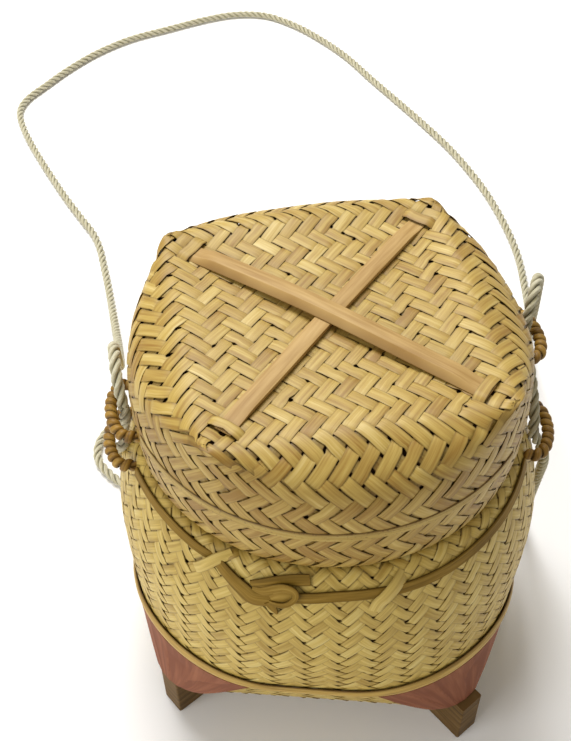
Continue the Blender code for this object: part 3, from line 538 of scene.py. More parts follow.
        # places along the strip and its height there: level over two crossings, steep between over and under
        crossings = np.arange(math.ceil(t0 - 0.5) + 0.5, t1 + 1e-9, 1.0)
        signs = np.where(self.isOver(family, index, crossings), 1.0, -1.0)
        rows = [(t0, signs[0])] if crossings[0] - t0 > 0.15 else []
        for c, sign, later in zip(crossings, signs, np.append(signs[1:], 0.0)):
            rows.append((c, sign))
            if sign == later:
                rows.append((c + 0.5, sign * (1.22 if sign > 0 else 1.1)))
            elif later:
                rows += [(c + 0.27, sign * 0.86), (c + 0.5, 0.0), (c + 0.73, later * 0.86)]
        if t1 - crossings[-1] > 0.15:
            rows.append((t1, signs[-1]))
        return np.array(rows).T

    def weave(self, mesh, family, index, run=None):
        spec = self.spec
        t, h = self.heights(family, index, *(run or self.ends(index)))
        soft = self.softened(family, index, t)
        tangent = unit(self.softened(family, index, t + 0.35) - self.softened(family, index, t - 0.35))
        aside = self.softened(family, index + 0.3, t) - self.softened(family, index - 0.3, t)
        sideways = aside - tangent * np.sum(aside * tangent, axis=1, keepdims=True)
        spacing = np.linalg.norm(sideways, axis=1) / 0.6
        up = unit(np.cross(tangent, sideways)) * (1 if family == 0 else -1) * self.upwards
        across = np.cross(tangent, up)
        nearness = self.nearCorner(turned(soft, -self.turn), spec["gapeReach"])
        gape = 1 - spec["cornerGape"] * rng.uniform(0.3, 1.0) * nearness
        width = spec["width"] * (1 + stray["width"] * rng.standard_normal())
        width = np.minimum(width, spacing * spec["fill"]) * gape
        low, high = self.cut(family, index - 0.5, t), self.cut(family, index + 0.5, t)
        towards = np.sign(np.sum(across * sideways, axis=1))
        jitter = stray["aside"] * rng.standard_normal()
        wave = stray["aside"] * np.sin(t * stray["wave"] + rng.uniform(0, 6.28))
        uneven = stray["lift"] * rng.standard_normal(len(t))
        centre = soft + up * (spec["rise"] + spec["lift"] * h + uneven)[:, None]
        centre += across * (jitter + wave + towards * (low - high) / 2)[:, None]
        if abs(index) == spec["keeper"]:
            # the last strip over each end of the slats rises over it
            centre[:, 2] += spec["keeperRise"] * np.clip((1.5 - np.abs(t)) / 0.7, 0.0, 1.0) ** 1.2
        tone = rng.normal(0.0, spec["toneSpread"])
        # painted shade: the lid's walls go darker below the top, as the light falls from above
        if spec["paintedWallShade"]:
            tone = tone - spec["paintedWallShade"] * np.clip((lid["topHeight"] - soft[:, 2] - 0.001) / 0.016, 0.0, 1.0)
        tone = tone + np.interp(t, np.linspace(t[0], t[-1], 9), rng.normal(0.0, spec["toneSpread"] * 0.8, 9))
        thick, crown = spec["thickness"], spec["crown"]
        # the section's third values paint shade at the strip's edges and underside; shade paints a strip darker where
        # it dives under others
        section = [(-1.0, -crown * 1.6, 0.55), (-0.8, -crown * 0.5, 0.08), (0.0, 0.0, 0.0),
                   (0.8, -crown * 0.5, 0.08), (1.0, -crown * 1.6, 0.55), (0.96, -thick, 0.9), (-0.96, -thick, 0.9)]
        shade = np.clip(-h * 0.5, 0.0, 0.5)
        mesh.add(centre, across, up, (width - low - high) / 2, section, tone, shade, float(rng.uniform(0, 9)))


def indices(side):
    return [n + 0.5 for n in range(-side, side)]


# Lengths in metres; soften in cells; keeper is the strip that holds down the ends of the slats
lidPlait = {
    "side": 15, "width": 0.0053, "fill": 0.965, "thickness": 0.00042, "crown": 0.00008, "lift": 0.00030,
    "rise": -0.0001, "toneSpread": 0.055, "paintedWallShade": 0.06, "rowPhase": 1, "columns": False, "columnPhase": 0,
    "columnHole": 0.0, "soften": 1.1, "cornerReach": 0.008, "cornerOut": 0.0009, "cornerUp": 0.0003,
    "cornerGape": 0.18, "gapeReach": 0.022, "holeShare": 0.16, "holeSize": 0.00050, "keeper": 12.5,
    "keeperRise": 0.0015, "dished": True,
}
bodyPlait = {
    "side": 21, "width": 0.0047, "fill": 0.965, "thickness": 0.00040, "crown": 0.00007, "lift": 0.00028,
    "rise": -0.0001, "toneSpread": 0.045, "paintedWallShade": 0.0, "rowPhase": 1, "columns": True, "columnPhase": 124,
    "columnHole": 0.00045, "soften": 0.8, "cornerReach": 0.009, "cornerOut": 0.0010, "cornerUp": 0.0,
    "cornerGape": 0.08, "gapeReach": 0.022, "holeShare": 0.10, "holeSize": 0.00035, "keeper": 0, "dished": False,
}
# The inner body stands up as a neck, and its strips turn in over the mouth hoop
neckPlait = dict(bodyPlait, width=0.0045, lift=0.00022, thickness=0.0004, rise=-0.0004, toneSpread=0.08,
                 cornerOut=0.0, cornerGape=0.0)
bodyBottom = basket["boardHeight"] + basket["gap"]
lidRim = basket["shoulderHeight"] + lid["seat"]


def roundLevels(edge, rows):
    # levels of a round wall, from pairs of height and distance inside its edge
    return [(height, edge - inset, edge - inset) for height, inset in rows]


def weaveLid():
    levels = list(np.linspace(lid["topHeight"], lid["bandHeight"], 25))
    levels += list(np.linspace(lid["bandHeight"], lidRim + 0.0006, 8))[1:]
    levels += roundLevels(lid["rimDiameter"] / 2, [(lidRim + 0.0001, 0.0008), (lidRim + 0.0001, 0.0026)])
    plait = Plait(lidPlait, lidSection, levels, lid["turn"], 1)
    for family, word in enumerate("AB"):
        mesh = StripMesh()
        for index in indices(lidPlait["side"]):
            plait.weave(mesh, family, index)
        mesh.build("lidPlait" + word, lidBamboo, "lid", "bamboo_lid", [] if family else ["lid_shell"])


def weaveBody():
    edge = basket["shoulderHeight"]
    levels = list(np.linspace(bodyBottom + 0.0004, basket["bellyHeight"], 28))
    levels += list(np.linspace(basket["bellyHeight"], edge - basket["shoulderRound"], 20))[1:]
    levels += roundLevels(basket["shoulderDiameter"] / 2, [(edge - 0.0003, 0.001), (edge - 0.0003, 0.0045)])
    plait = Plait(bodyPlait, bodySection, levels, 0.0, -1)
    side = bodyPlait["side"]
    for family, word in enumerate("AB"):
        for part, run in (("Left", indices(side)[:side]), ("Right", indices(side)[side:])):
            mesh = StripMesh()
            for index in run:
                plait.weave(mesh, family, index)
            nodes = ["body_shell"] if word + part == "ALeft" else []
            mesh.build("bodyPlait" + word + part, bodyBamboo, "basket", "bamboo_body", nodes)


def weaveNeck():
    top = basket["neckHeight"]
    rows = [(z, 0.0) for z in np.linspace(basket["neckFoot"], top - 0.0009, 9)]
    rows += [(top - 0.0001, 0.0007), (top - 0.0001, 0.0017), (top - 0.0012, 0.0024), (top - 0.0060, 0.0024)]
    plait = Plait(neckPlait, None, roundLevels(basket["neckDiameter"] / 2, rows), 0.0, -1)
    mesh = StripMesh()
    for family in (0, 1):
        for index in indices(neckPlait["side"]):
            t0, t1 = plait.ends(index)
            edge = neckPlait["side"] - abs(index) + 0.001
            plait.weave(mesh, family, index, (edge, t1))
            plait.weave(mesh, family, index, (t0, -edge))
    mesh.build("neckPlait", neckBamboo, "basket", "bamboo_lining")


# Linings: sheets between two stacks of rings, open at their first rings, each ring a radius for each bearing
# and a height
liningSides = 96
liningBearings = np.arange(liningSides) * 2 * math.pi / liningSides


def addSheet(name, outer, inner, turn, body, node):
    loops = outer + inner[::-1]
    bearings = liningBearings + turn
    points = np.concatenate([np.stack([r * np.cos(bearings), r * np.sin(bearings), np.broadcast_to(z, r.shape)], 1)
                             for r, z in loops])
    first = np.arange(liningSides)
    faces = []
    for i in range(len(loops)):
        if i != len(outer) - 1:
            a, b = first + i * liningSides, first + (i + 1) % len(loops) * liningSides
            faces += np.stack([a, np.roll(a, -1), np.roll(b, -1), b], axis=1).tolist()
    faces.append((first + (len(outer) - 1) * liningSides).tolist())
    faces.append((first[::-1] + len(outer) * liningSides).tolist())
    if np.mean(outer[-1][1]) < np.mean(outer[0][1]):
        faces = [face[::-1] for face in faces]
    finishPiece(addPiece(name, points, faces), liningBambooWithShade, body, [node], 40)


# Inner layer of the lid, a plain sheet because it stays over the neck
def addLidLining():
    corner = 1 - np.abs(np.mod(liningBearings, math.pi / 2) - math.pi / 4) / (math.pi / 4)

    def rings(inset):
        top = lid["topHeight"] - basket["gap"] - inset + basket["loose"]
        found = []
        for height in np.linspace(lidRim + lid["wall"] / 2, top, 22):
            half, diagonal = lidSection(min(height + inset, lid["topHeight"]))
            radius = sectionRadius(half - inset, diagonal - inset, liningBearings)
            found.append((radius, height - dishDrop(1.0, corner, top - height)))
        return found + [(radius * share, top - dishDrop(share, corner, 0.0))
                        for share in (0.9, 0.75, 0.5, 0.25, 0.02)]

    inset = lid["wall"] + basket["loose"]
    addSheet("lidLining", rings(inset), rings(inset + lid["lining"]), lid["turn"], "lid", "lid_lining")


# Inner body: square base to the round neck, thinner in the neck so that its plait lies on it
def addBodyLining():
    floor = bodyBottom + basket["gap"] + lid["wall"]

    def rings(inset, neckInset, base):
        neck = np.full(liningSides, basket["neckDiameter"] / 2 - neckInset)
        heights = np.linspace(basket["neckHeight"] - 0.0013, basket["liningNeckFoot"], 8)
        found = [(neck, height) for height in heights]
        for height in np.linspace(basket["liningShoulder"], base, 30):
            half, diagonal = bodySection(height)
            found.append((sectionRadius(half - inset, diagonal - inset, liningBearings), height))
        return found + [(found[-1][0] * share, base) for share in (0.97, 0.6, 0.02)]

    inset = lid["wall"] + basket["loose"]
    addSheet("bodyLining", rings(inset, 0.0009, floor), rings(inset + 0.0014, 0.0014, floor + 0.0014), 0.0,
             "basket", "body_lining")


weaveLid()
addLidLining()
say("the lid is plaited")
weaveBody()
say("the body is plaited")
weaveNeck()
addBodyLining()
say("the neck is plaited")


# Sections of strips that lie on a wall, top side only: share of the half width, height and painted edge shade
def mirrored(half):
    return half + [(-x, z, shade) for x, z, shade in half[-2::-1]]


flat = mirrored([(-1.0, -0.00035, 0.5), (-0.86, -0.00006, 0.1), (0.0, 0.0, 0.0)])
halfRound = mirrored([(-1.0, -0.0011, 0.6), (-0.8, -0.0005, 0.1), (-0.35, -0.0001, 0.0), (0.0, 0.0, 0.0)])
# painted shadow along the strip's upper edge
fineEdgeTopShadow = [(-1.0, -0.00045, 1.0), (-0.8, -0.00004, 0.3), (0.0, 0.0, 0.0), (0.86, -0.00004, 0.0), (1.0, -0.0002, 0.0)]


# the back is painted 0.8 of the way to the gap colour, as shade
def withBack(profile, thickness):
    return profile + [(0.97, -thickness, 0.8), (-0.97, -thickness, 0.8)]


def surfaceRadius(section, height, bearing, turn=0.0):
    half, diagonal = section(height)
    return float(sectionRadius(half, diagonal, bearing - turn))


def wallPoint(section, bearing, height, off, turn=0.0):
    radius = surfaceRadius(section, height, bearing, turn) + off
    return [radius * math.cos(bearing), radius * math.sin(bearing), height]


# A strip between two edges of a wall, given by the height of its middle at each bearing in radians
def wallStrip(spec, section, middleHeight, ends, profile, step, turn=0.0):
    mesh = StripMesh()
    half, thickness = spec["width"] / 2, spec["thickness"]
    bearings = np.radians(np.linspace(*ends, max(int(abs(ends[1] - ends[0]) / step), 2) + 1))
    low, high = (np.array([wallPoint(section, b, middleHeight(b) + side, spec["off"], turn) for b in bearings])
                 for side in (-half, half))
    middle = (low + high) / 2
    width = np.linalg.norm(high - low, axis=1)
    tangent = unit(np.gradient(middle, axis=0))
    up = unit(np.cross(unit(low - high), tangent))
    across = unit(np.cross(tangent, up))
    mesh.add(middle + up * thickness, across, up, width / 2, withBack(profile, thickness), 0.0)
    return mesh


# Split-bamboo hoop, left half round, tied on above the corner bindings
hoop = {"height": 0.0580, "cornerRise": 0.0050, "width": 0.0064, "thickness": 0.0015, "off": 0.0009,
        "ends": (60.0, 424.0)}


def hoopHeight(bearing):
    return hoop["height"] + hoop["cornerRise"] * math.sin(2 * bearing) ** 2


# Thin strip laid through the front of the lid's wall, with a painted shadow above it
lidStrip = {"height": 0.1652, "width": 0.0042, "thickness": 0.0005, "off": 0.0002, "ends": (-150.0, -28.0)}


def addHoops():
    mesh = wallStrip(hoop, bodySection, hoopHeight, hoop["ends"], halfRound, 1.5)
    mesh.build("baseHoop", hoopBamboo, "basket", "bamboo_slat", ["base_hoop"])
    mesh = wallStrip(lidStrip, lidSection, lambda bearing: lidStrip["height"], lidStrip["ends"], fineEdgeTopShadow, 2.5,
                     lid["turn"])
    mesh.build("lidStrip", lidEdgeBamboo, "lid", "bamboo_slat", ["lid_hoop_strip"])


# Flat cane belt round the shoulder, with body strips over it. The front run goes under the plait at the left
# and starts again lower, where the knot pulls it down. Route rows: bearing in degrees, then height, height over
# the wall and width in mm
belt = {"earHeight": 0.1358, "backDrop": 0.0030, "curve": 1.2, "width": 0.0044, "thickness": 0.0010, "off": 0.0003,
        "endSpace": 0.0008, "lean": 0.32}
beltRoutes = {
    "left": [(-150, 136.8, 0, 4.4), (-140, 137.3, 0, 4.4), (-130, 137.0, 0, 4.4), (-123, 136.2, -0.2, 4.4),
             (-118, 135.0, -1.6, 4.4)],
    "middle": [(-119, 136.2, -1.4, 4.4), (-116, 135.0, 0, 5.2), (-111.4, 131.2, 0.2, 6.2), (-108.3, 129.0, 0.4, 7.0),
               (-105.8, 127.4, 0.6, 6.8), (-102.6, 128.0, 0.6, 6.0), (-99, 129.4, 0.4, 5.2)],
    "right": [(-102, 129.8, 0.4, 4.84), (-95.9, 130.8, 0.3, 4.84), (-90.8, 131.5, 0.2, 4.84), (-84, 132.4, 0, 4.84),
              (-75, 132.3, 0, 4.84), (-66, 131.8, 0, 4.84), (-57, 131.9, 0, 4.84), (-48, 132.6, 0, 4.84),
              (-38, 133.5, 0, 4.84), (-26, 134.5, 0, 4.84)],
    "upper": [(-106.7, 133.6, 1.0, 2.6), (-103.6, 135.4, 1.2, 3.8), (-100.5, 137.0, 1.0, 4.6),
              (-97.5, 137.9, 0.6, 5.2), (-94.2, 138.7, 0.4, 5.6), (-91.4, 139.2, 0.4, 5.6)],
    "loop": [(-106.1, 131.0, 0.6, 3.0), (-103.4, 131.6, 1.0, 4.2), (-100.8, 133.7, 1.4, 4.6),
             (-98.2, 135.6, 1.8, 4.2), (-96, 135.9, 2.2, 3.6), (-94.9, 134.9, 2.4, 3.0), (-94.8, 133.0, 2.5, 2.6),
             (-95.8, 130.7, 2.4, 2.4), (-97.4, 128.8, 2.1, 2.4), (-99.4, 128.1, 1.8, 2.4), (-101.4, 127.6, 1.0, 2.2)],
    "fold": [(-101.4, 128.8, 0.8, 5.0), (-98.4, 132.2, 1.7, 6.2), (-95.6, 132.8, 1.4, 5.2)],
    "tail": [(-101.6, 127.6, 1.2, 3.6), (-100.3, 124.7, 0.6, 3.2), (-99.2, 121.9, 0.1, 0.9)],
    "overLeft": [(-124.5, 125.0, -1.2, 4.7), (-122, 128.8, 0.4, 4.7), (-119.3, 133.8, 1.4, 4.7),
                 (-116.6, 137.8, 0.8, 4.7), (-113.5, 140.2, -1.2, 4.7)],
    "overRight": [(-75.2, 121.4, -1.0, 6.2), (-73.8, 127.4, 0.5, 6.2), (-72, 130.6, 1.3, 6.2),
                  (-69.7, 134.0, 1.4, 6.2), (-67.8, 136.0, 0.6, 6.2), (-66, 137.4, -1.0, 6.2)],
}


def layBelt(mesh, name, tone=0.0, thickness=belt["thickness"]):
    spots, outs, widths = [], [], []
    for bearing, height, over, width in throughPoints(np.array(beltRoutes[name]), 8):
        b, height, over = math.radians(bearing), height * 0.001, over * 0.001
        spots.append(wallPoint(bodySection, b, height, belt["off"] + over + thickness))
        outs.append([math.cos(b), math.sin(b), belt["lean"]])
        widths.append(width * 0.001)
    spots, outs = np.array(spots), np.array(outs)
    tangent = unit(np.gradient(spots, axis=0))
    up = unit(outs - tangent * np.sum(outs * tangent, axis=1, keepdims=True))
    mesh.add(spots, np.cross(tangent, up), up, np.array(widths) / 2, withBack(flat, thickness), tone,
             start=float(rng.uniform(0, 5)))


def addBelt():
    wall = bodySection(belt["earHeight"])[0]
    clear = math.degrees((ears["halfSpan"] + ears["tube"] + belt["endSpace"]) / wall)
    left, right = ears["body"]["left"] + clear, ears["body"]["right"] - clear
    beltRoutes["left"].insert(0, (left, belt["earHeight"] * 1000, 0, 4.4))
    beltRoutes["right"].append((right, belt["earHeight"] * 1000, 0, 4.84))

    def backHeight(bearing):
        return belt["earHeight"] - belt["backDrop"] * abs(math.sin(bearing)) ** belt["curve"]

    # each piece's runs, with their tones and thicknesses
    pieces = {
        "beltFront": (beltCane, "brown_cane", ["belt_front"], [("left",), ("middle", 0.04), ("right",)]),
        "beltKnot": (beltCane, "brown_cane", ["belt_knot"],
                     [("upper", -0.05, 0.0008), ("loop", 0.06, 0.0008), ("fold", 0.20, 0.0006)]),
        "beltTail": (beltCane, "brown_cane", ["belt_tail"], [("tail", 0.0, 0.0007)]),
        "beltKeepers": (bodyBamboo, "bamboo_body", [], [("overLeft", 0.04, 0.0004), ("overRight", 0.04, 0.0004)]),
    }
    for name, (material, slot, nodes, runs) in pieces.items():
        mesh = StripMesh()
        for run in runs:
            layBelt(mesh, *run)
        mesh.build(name, material, "basket", slot, nodes)
    behind = (right + 2 * clear, left + 360 - 2 * clear)
    mesh = wallStrip(belt, bodySection, backHeight, behind, flat, 2.5)
    mesh.build("beltBack", beltCane, "basket", "brown_cane", ["belt_back"])


# Ears: half rings of cane wound with one strip, standing out level from the wall
ears = {
    "halfSpan": 0.0140, "opening": 0.0056, "coreRadius": 0.0012, "tube": 0.0025, "pitch": 0.0036, "width": 0.00345,
    "gap": 0.0003, "endTuck": 0.0016, "bareEnds": 0.0016, "turnSteps": 20, "wander": 0.00022, "turnTone": 0.12,
    "body": {"height": 0.1358, "left": -168.0, "right": 0.0},
    "lid": {"heightLeft": 0.1570, "heightRight": 0.1660, "left": -166.0, "right": 18.0},
}
# Section of the winding: a low bead with painted shade at its edges and underside
bead = mirrored([(-1.0, -0.00105, 0.75), (-0.8, -0.0005, 0.3), (-0.45, -0.00012, 0.03), (0.0, 0.0, 0.0)])
bead += [(0.7, -0.0013, 0.9), (-0.7, -0.0013, 0.9)]


class EarPath:
    # centre line of one ear, by distance from its first end
    def __init__(self, bearing, height, wall):
        angle = np.linspace(0.0, math.pi, 400)
        out = ears["gap"] + (ears["opening"] + ears["tube"]) * np.sin(angle) ** 0.7
        radius = wall + (out - ears["endTuck"] * (1 - np.sin(angle)) ** 6)
        across = math.radians(bearing) + ears["halfSpan"] * np.cos(angle) / wall
        self.table = np.stack([radius * np.cos(across), radius * np.sin(across), np.full(400, height)], axis=1)
        self.lengths = distances(self.table)
        self.length = self.lengths[-1]

    def at(self, distance):
        return np.stack([np.interp(distance, self.lengths, axis) for axis in self.table.T], axis=-1)

    def frames(self, distance):
        tangent = unit(self.at(distance + 0.0006) - self.at(distance - 0.0006))
        up = np.broadcast_to(np.array([0.0, 0.0, 1.0]), tangent.shape)
        return tangent, np.cross(tangent, up), up


def roundSection(sides, radius, shadeAt):
    angles = [math.pi - 2 * math.pi * i / sides for i in range(sides)]
    return [(math.cos(a), radius * math.sin(a), shadeAt(math.sin(a))) for a in angles]


def addEar(name, path, body, nodes):
    core = StripMesh()
    distance = np.linspace(0.0, path.length, 40)
    tangent, out, up = path.frames(distance)
    # the core is painted 0.3 of the way to the gap colour, as shade under the winding
    core.add(path.at(distance), np.cross(tangent, up), up, ears["coreRadius"],
             roundSection(8, ears["coreRadius"], lambda rise: 0.0), -0.1, 0.3)
    core.build(name + "Core", earCane, body, "ear_cane", nodes[:1], 60)
    turns = int((path.length - ears["bareEnds"]) / ears["pitch"])
    steps = np.arange(turns * ears["turnSteps"] + 1)
    turn = steps / ears["turnSteps"]
    angle = 2 * math.pi * turn + math.pi
    wander = ears["wander"] * np.sin(steps * 0.37 + rng.uniform(0, 6))
    wander = wander + 0.00001 * rng.standard_normal(len(steps)).cumsum()
    distance = (path.length - turns * ears["pitch"]) / 2 + ears["pitch"] * turn + wander
    tangent, out, up = path.frames(distance)
    radial = out * np.cos(angle)[:, None] + up * np.sin(angle)[:, None]
    centre = path.at(distance) + radial * (ears["tube"] + 0.00015)
    across = unit(np.cross(unit(np.gradient(centre, axis=0)), radial))
    wrap = StripMesh()
    turnTone = np.interp(turn, np.arange(turns + 1), rng.normal(0.0, ears["turnTone"], turns + 1))
    wrap.add(centre, across, radial, ears["width"] / 2, bead, turnTone)
    wrap.build(name + "Wrap", earCane, body, "ear_cane", nodes[1:], 60)


def addEars():
    for side in ("left", "right"):
        bodyHeight, lidHeight = ears["body"]["height"], ears["lid"]["height" + side.capitalize()]
        bearing = math.radians(ears["lid"][side])
        lidWall = max(surfaceRadius(lidSection, lidHeight + d, bearing, lid["turn"])
                      for d in (-ears["tube"], 0, ears["tube"]))
        for part, body, height, wall in (("body", "basket", bodyHeight, bodySection(bodyHeight - ears["tube"])[0]),
                                         ("lid", "lid", lidHeight, lidWall)):
            addEar(f"{part}Ear{side.capitalize()}", EarPath(ears[part][side], height, wall), body,
                   [f"{part}_ear_{side}_core", f"{part}_ear_{side}_wrap"])


addHoops()
addEars()
addBelt()
say("hoop, belt and ears are on")

# Reddish corner bindings: one pleated band each, pulled together towards the foot
binding = {
    "spread": 27.0, "tipSpread": 10.0, "underHoop": 0.0030, "thickness": 0.0011, "off": 0.0008, "flare": 0.0016,
    "flareEnd": 0.75, "pleats": 5, "pleatDepth": 0.00035, "paintedPleatShade": 0.12,
}


def addBindings():
    low = bodyBottom + basket["gap"]
    for number, corner in enumerate((-135, -45, 45, 135)):
        bpy.ops.object.select_all(action="DESELECT")
        bpy.ops.mesh.primitive_grid_add(x_subdivisions=84, y_subdivisions=28, size=2.0)
        band = bpy.context.active_object
        band.name = f"cornerBinding{number + 1}"
        mesh = band.data
        phase = rng.uniform(0, 1)
        spots, uvs, tones = [], [], []
        for vertex in mesh.vertices:
            lean, share = vertex.co.x, (vertex.co.y + 1) / 2
            spread = binding["tipSpread"] + (binding["spread"] - binding["tipSpread"]) * share ** 0.8
            bearing = math.radians(corner + spread * lean)
            height = low + (hoopHeight(bearing) - binding["underHoop"] - low) * share
            pleat = (lean * 0.5 + 0.5) * binding["pleats"] + phase + 0.5 * math.sin(3 * lean + 2 * share + number)
            fold = (pleat % 1.0) ** 2.2 * binding["pleatDepth"]
            fold *= 0.35 + 0.65 * math.sin(math.pi * min(share + 0.15, 1))
            flare = binding["flare"] * max(1 - share / binding["flareEnd"], 0.0) * (1 - lean ** 2)
            spots.append(wallPoint(bodySection, bearing, height, binding["off"] + flare + fold))
            uvs.append((share * 22 + 40 * number, lean * 20 + share * 2))
            # painted light and shade across each pleat: dark in its crease, light on its ridge
            tones.append(binding["paintedPleatShade"] * ((pleat % 1.0) - 0.5))
        mesh.vertices.foreach_set("co", np.array(spots).ravel())
        paintStrips(mesh, np.array(uvs), tones, np.zeros(len(tones)))
        solid = band.modifiers.new("sheet", "SOLIDIFY")
        solid.thickness = binding["thickness"]
        solid.offset = 1.0
        bpy.ops.object.modifier_apply(modifier="sheet")
        finishPiece(band, redStrip, "basket", [f"corner_binding_{number + 1}"], 40)


addBindings()
say("corner bindings are on")

# Cross slats on the lid: planed bamboo with thin ends, the upper one bowed over the lower one. split is the
# sloping side where the outer skin of the culm shows
bars = {
    "length": 0.1385, "gap": 0.0006, "taperFrom": 0.78, "taperTo": 0.93, "tipThickness": 0.34, "bevel": 0.0004,
    "cuts": 39, "endSpace": 0.0012, "wander": 0.0002,
    "lower": {"turn": 45, "width": 0.0071, "thickness": 0.0021, "arch": 0.0, "split": 0.0, "aside": 0.0},
    "upper": {"turn": 135, "width": 0.0082, "thickness": 0.0029, "arch": 0.0023, "split": 0.0025, "aside": 0.0012},
}


def addBar(name, spec, node):
    length, width, thickness = bars["length"], spec["width"], spec["thickness"]
    bpy.ops.object.select_all(action="DESELECT")
    bpy.ops.mesh.primitive_cube_add(size=1.0)
    bar = bpy.context.active_object
    bar.name = name
    bpy.ops.transform.resize(value=(length, width, thickness))
    bpy.ops.object.transform_apply(location=True, rotation=True, scale=True)
    mesh = bar.data
    bpy.ops.object.mode_set(mode="EDIT")
    bpy.ops.mesh.select_mode(type="EDGE")
    bpy.ops.mesh.select_all(action="DESELECT")
    bpy.ops.object.mode_set(mode="OBJECT")
    for side in mesh.edges:
        a, b = (mesh.vertices[i].co for i in side.vertices)
        side.select = abs(a.x - b.x) > 0.1 and min(a.z, b.z, a.y, b.y) > 0
    bpy.ops.object.mode_set(mode="EDIT")
    if spec["split"]:
        bpy.ops.mesh.bevel(offset=spec["split"], segments=1, affect="EDGES")
    bpy.ops.mesh.select_all(action="SELECT")
    bpy.ops.mesh.bevel(offset=bars["bevel"], segments=2, affect="EDGES", clamp_overlap=True)
    reach = length / 2 - bars["endSpace"]
    for x in np.linspace(-reach, reach, bars["cuts"]):
        bpy.ops.mesh.select_all(action="SELECT")
        bpy.ops.mesh.bisect(plane_co=(x, 0.0, 0.0), plane_no=(1.0, 0.0, 0.0))
    bpy.ops.object.mode_set(mode="OBJECT")
    # bend, thin and turn the straight slat into its place, with its fibres along it
    turn = lid["turn"] + math.radians(spec["turn"])
    x, y, z = np.array([vertex.co for vertex in mesh.vertices]).T
    uvs = np.stack([x * 1000, (y + z) * 1000 + turn * 40], axis=1)
    share, top = 2 * x / length, z / thickness + 0.5
    y = y + bars["wander"] * np.sin(share * 4 + turn)
    skin = (y > width / 2 - spec["split"] * 0.9) & (spec["split"] > 0)
    taper = np.clip((np.abs(share) - bars["taperFrom"]) / (bars["taperTo"] - bars["taperFrom"]), 0.0, 1.0)
    thick = thickness * (1 - (1 - bars["tipThickness"]) * taper * taper * (3 - 2 * taper))
    z = lid["topHeight"] - lid["dish"] + bars["gap"] + top * thick + spec["arch"] * np.cos(share * math.pi / 2) ** 2
    spots = turned(np.stack([x, y + spec["aside"], z], axis=1), turn)
    mesh.vertices.foreach_set("co", spots.ravel())
    # the slat's underside is painted 0.3 darker as shade; the skin's lower tone is its own colour
    paintStrips(mesh, uvs, 0.05 * np.sin(share * 5 + turn * 3) - 0.10 * skin, 0.30 * (top < 0.2))
    finishPiece(bar, slatBamboo, "lid", [node], 30)


addBar("lidBarLower", bars["lower"], "lid_bar_lower")
addBar("lidBarUpper", bars["upper"], "lid_bar_upper")
say("the lid's slats are on")

# Rope of three cotton strands, laid right-handed. Routes in mm, from the knot through the left ears, over the
# floor, through the right ears and back to the knot; on the floor its middle is at 2.8
rope = {"diameter": 0.005, "strand": 0.00118, "offset": 0.00132, "lay": 0.0155, "step": 0.00125, "sides": 8,
        "onFloor": 0.00265}
ropeRoutes = {
    "lowerLeft": [
        (-19, 113, 5.9), (-34, 113, 5.0), (-56, 112, 3.2), (-84, 110, 2.8), (-109, 106.5, 2.8), (-125, 98, 2.8),
        (-132, 85, 2.8), (-130.5, 72, 2.8), (-122, 62, 2.8), (-111, 54, 3.2), (-104, 45, 9), (-101.2, 38, 22),
        (-99.2, 30, 44), (-98, 20, 68), (-96.6, 9, 90), (-94.6, -1, 106), (-91.6, -9.8, 118), (-87.9, -15.8, 127),
        (-84.6, -17.9, 132.4)],
    "linkLeft": [
        (-84.1, -17.9, 136), (-83.7, -18.4, 141), (-82.2, -19.4, 148), (-81, -20.1, 153), (-80.8, -20.2, 157),
        (-80.9, -20.2, 160.6)],
    "fallLeft": [
        (-81.6, -19.4, 166), (-83.2, -15, 172.5), (-85.2, -7, 174.8), (-87.8, 2, 170), (-92, 16, 153),
        (-97.8, 36, 124), (-106.2, 64, 90.5), (-115, 94, 62), (-124, 124, 39.8), (-133, 153, 23.4), (-142, 182, 11.9),
        (-150.5, 209, 5.6), (-158, 231, 3.2), (-164, 248, 2.8)],
    "floorLoop": [
        (-171, 262, 2.8), (-182, 277, 2.8), (-198, 299, 2.8), (-218, 329, 2.8), (-238, 361, 2.8), (-251, 386, 2.8),
        (-255.5, 402, 2.8), (-253, 417, 2.8), (-244, 434, 2.8), (-230, 459, 2.8), (-212, 484, 2.8), (-189, 506, 2.8),
        (-161, 523, 2.8), (-130, 541, 2.8), (-106, 550, 2.8), (-82, 550, 2.8), (-60, 539, 2.8), (-38, 521, 2.8),
        (-12, 493, 2.8), (11, 460, 2.8), (31, 432, 2.8), (50, 405, 2.8), (72, 371, 2.8), (92, 331, 2.8),
        (105, 294, 2.8), (112.5, 262, 2.8), (115.5, 232, 2.8), (116.6, 206, 2.8)],
    "fallRight": [
        (115.2, 189, 4.4), (112.2, 171.5, 10.6), (108, 150, 25.5), (103, 127, 47), (97.4, 102.5, 77),
        (92.4, 80.5, 112), (88.4, 61.5, 149), (85.4, 49, 174.6), (83.2, 41, 181.4), (81.2, 33, 180.6),
        (79.9, 28, 175), (79.3, 26, 170.2)],
    "linkRight": [
        (79.3, 25.6, 166), (81.2, 20.6, 160), (84, 12, 150), (85.8, 4, 141), (86, 0.6, 136), (86.5, 0, 132.4)],
    "lowerRight": [
        (89.3, 0.6, 127), (92.8, 2.4, 118), (95, 6.6, 106), (96.2, 13, 90), (97.4, 22, 64), (99, 32, 36),
        (100.6, 43, 15), (99.6, 60, 4.4), (93, 78, 2.8), (80, 95, 2.8), (60, 107, 2.8), (36, 112, 3.2),
        (14, 113, 5.0), (-1, 113, 5.9)],
}
# The join: each end is wound round the other rope and drawn tight
ropeKnot = {"centre": (-0.010, 0.113, 0.0059), "reach": 0.01152, "turns": 3.2, "radius": 0.0040, "narrow": 0.18,
            "size": 0.68, "lowest": 0.0019, "step": 0.0011}


def evenly(points, step):
    return resample(points, max(int(round(distances(points)[-1] / step)), 2))


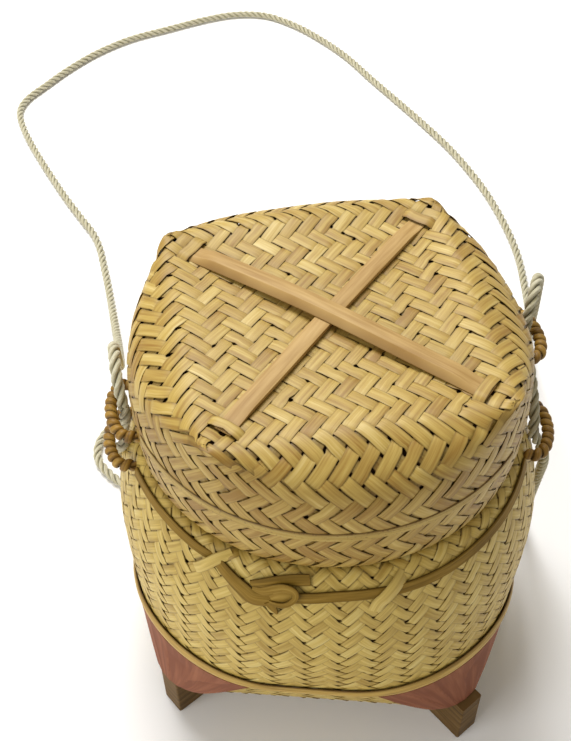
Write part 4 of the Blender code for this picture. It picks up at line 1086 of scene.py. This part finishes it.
def layStrands(mesh, path, size=1.0):
    # three round strands about the path, on frames that are carried along it without twist
    tangents = unit(np.gradient(path, axis=0))
    normals = []
    normal = np.cross(tangents[0], [0.0, 0.0, 1.0])
    for tangent in tangents:
        normal = unit(normal - tangent * normal.dot(tangent))
        normals.append(normal)
    normals = np.array(normals)
    others = np.cross(tangents, normals)
    radius = rope["strand"] * size
    # painted shade on each strand's inner side, where the strands meet
    section = roundSection(rope["sides"], radius, lambda rise: max(0.0, 0.55 - 0.75 * rise))
    for strand in range(3):
        turn = 2 * math.pi * (distances(path) / (rope["lay"] * size) + strand / 3)
        radial = normals * np.cos(turn)[:, None] + others * np.sin(turn)[:, None]
        centre = path + radial * rope["offset"] * size
        along = unit(np.gradient(centre, axis=0))
        across = unit(np.cross(along, radial))
        mesh.add(centre, across, unit(np.cross(across, along)), radius, section, rng.normal(0, 0.05))


def addRopePiece(name, points, nodes):
    path, length = evenly(points, rope["step"])
    mesh = StripMesh()
    layStrands(mesh, path)
    piece = mesh.build(name, cotton, None, "cotton_rope", nodes, 60)
    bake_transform(piece)
    say(f"{name} {length:.3f} m")
    return piece, path, length


def addRopeKnot():
    mesh = StripMesh()
    share = np.linspace(0.0, 1.0, 90)
    turn = 2 * math.pi * ropeKnot["turns"] * share
    radius = ropeKnot["radius"] * (1 - ropeKnot["narrow"] * np.abs(2 * share - 1) ** 4)
    coil = np.stack([(share - 0.5) * ropeKnot["reach"], radius * np.cos(turn), radius * np.sin(turn)], axis=1)
    coil = coil + np.array(ropeKnot["centre"])
    coil[:, 2] = np.maximum(coil[:, 2], ropeKnot["lowest"])
    layStrands(mesh, evenly(coil, ropeKnot["step"])[0], ropeKnot["size"])
    return mesh.build("ropeKnot", cotton, "basket", "cotton_rope", ["rope_knot"], 60)


def addRope():
    steps = 16
    dense = throughPoints(np.array([spot for route in ropeRoutes.values() for spot in route]) * 0.001, steps)
    dense[:, 2] = np.maximum(dense[:, 2], rope["onFloor"])
    # where the rope leaves the left ears and comes to the right ones
    lengths = dict(zip(ropeRoutes, (np.cumsum([len(route) for route in ropeRoutes.values()]) - 1) * steps))
    left = dense[:lengths["linkLeft"] + 1][::-1]
    right = dense[lengths["fallRight"]:][::-1]
    knotRun = throughPoints(np.array([left[-2], left[-1], right[0], right[1]]), steps)[steps + 1:2 * steps]
    piece, path, length = addRopePiece("carryRope", dense[lengths["linkLeft"]:lengths["fallRight"] + 1],
                                       ["rope_fall_left", "rope_floor_loop", "rope_fall_right"])
    piece, path, length = addRopePiece(
        "lowerRope", np.concatenate([left, knotRun, right]),
        ["rope_link_left", "rope_link_right", "rope_lower_left", "rope_lower_right"])
    addRopeKnot()


addRope()
say("the rope is laid")

# Finishes for the solids that stay
for node, material in (("mouth_hoop", liningBambooWithShade), ("base_board_lower", boardWood),
                       ("base_board_upper", boardWood)):
    for slot in bpy.data.objects[node].material_slots:
        slot.material = material
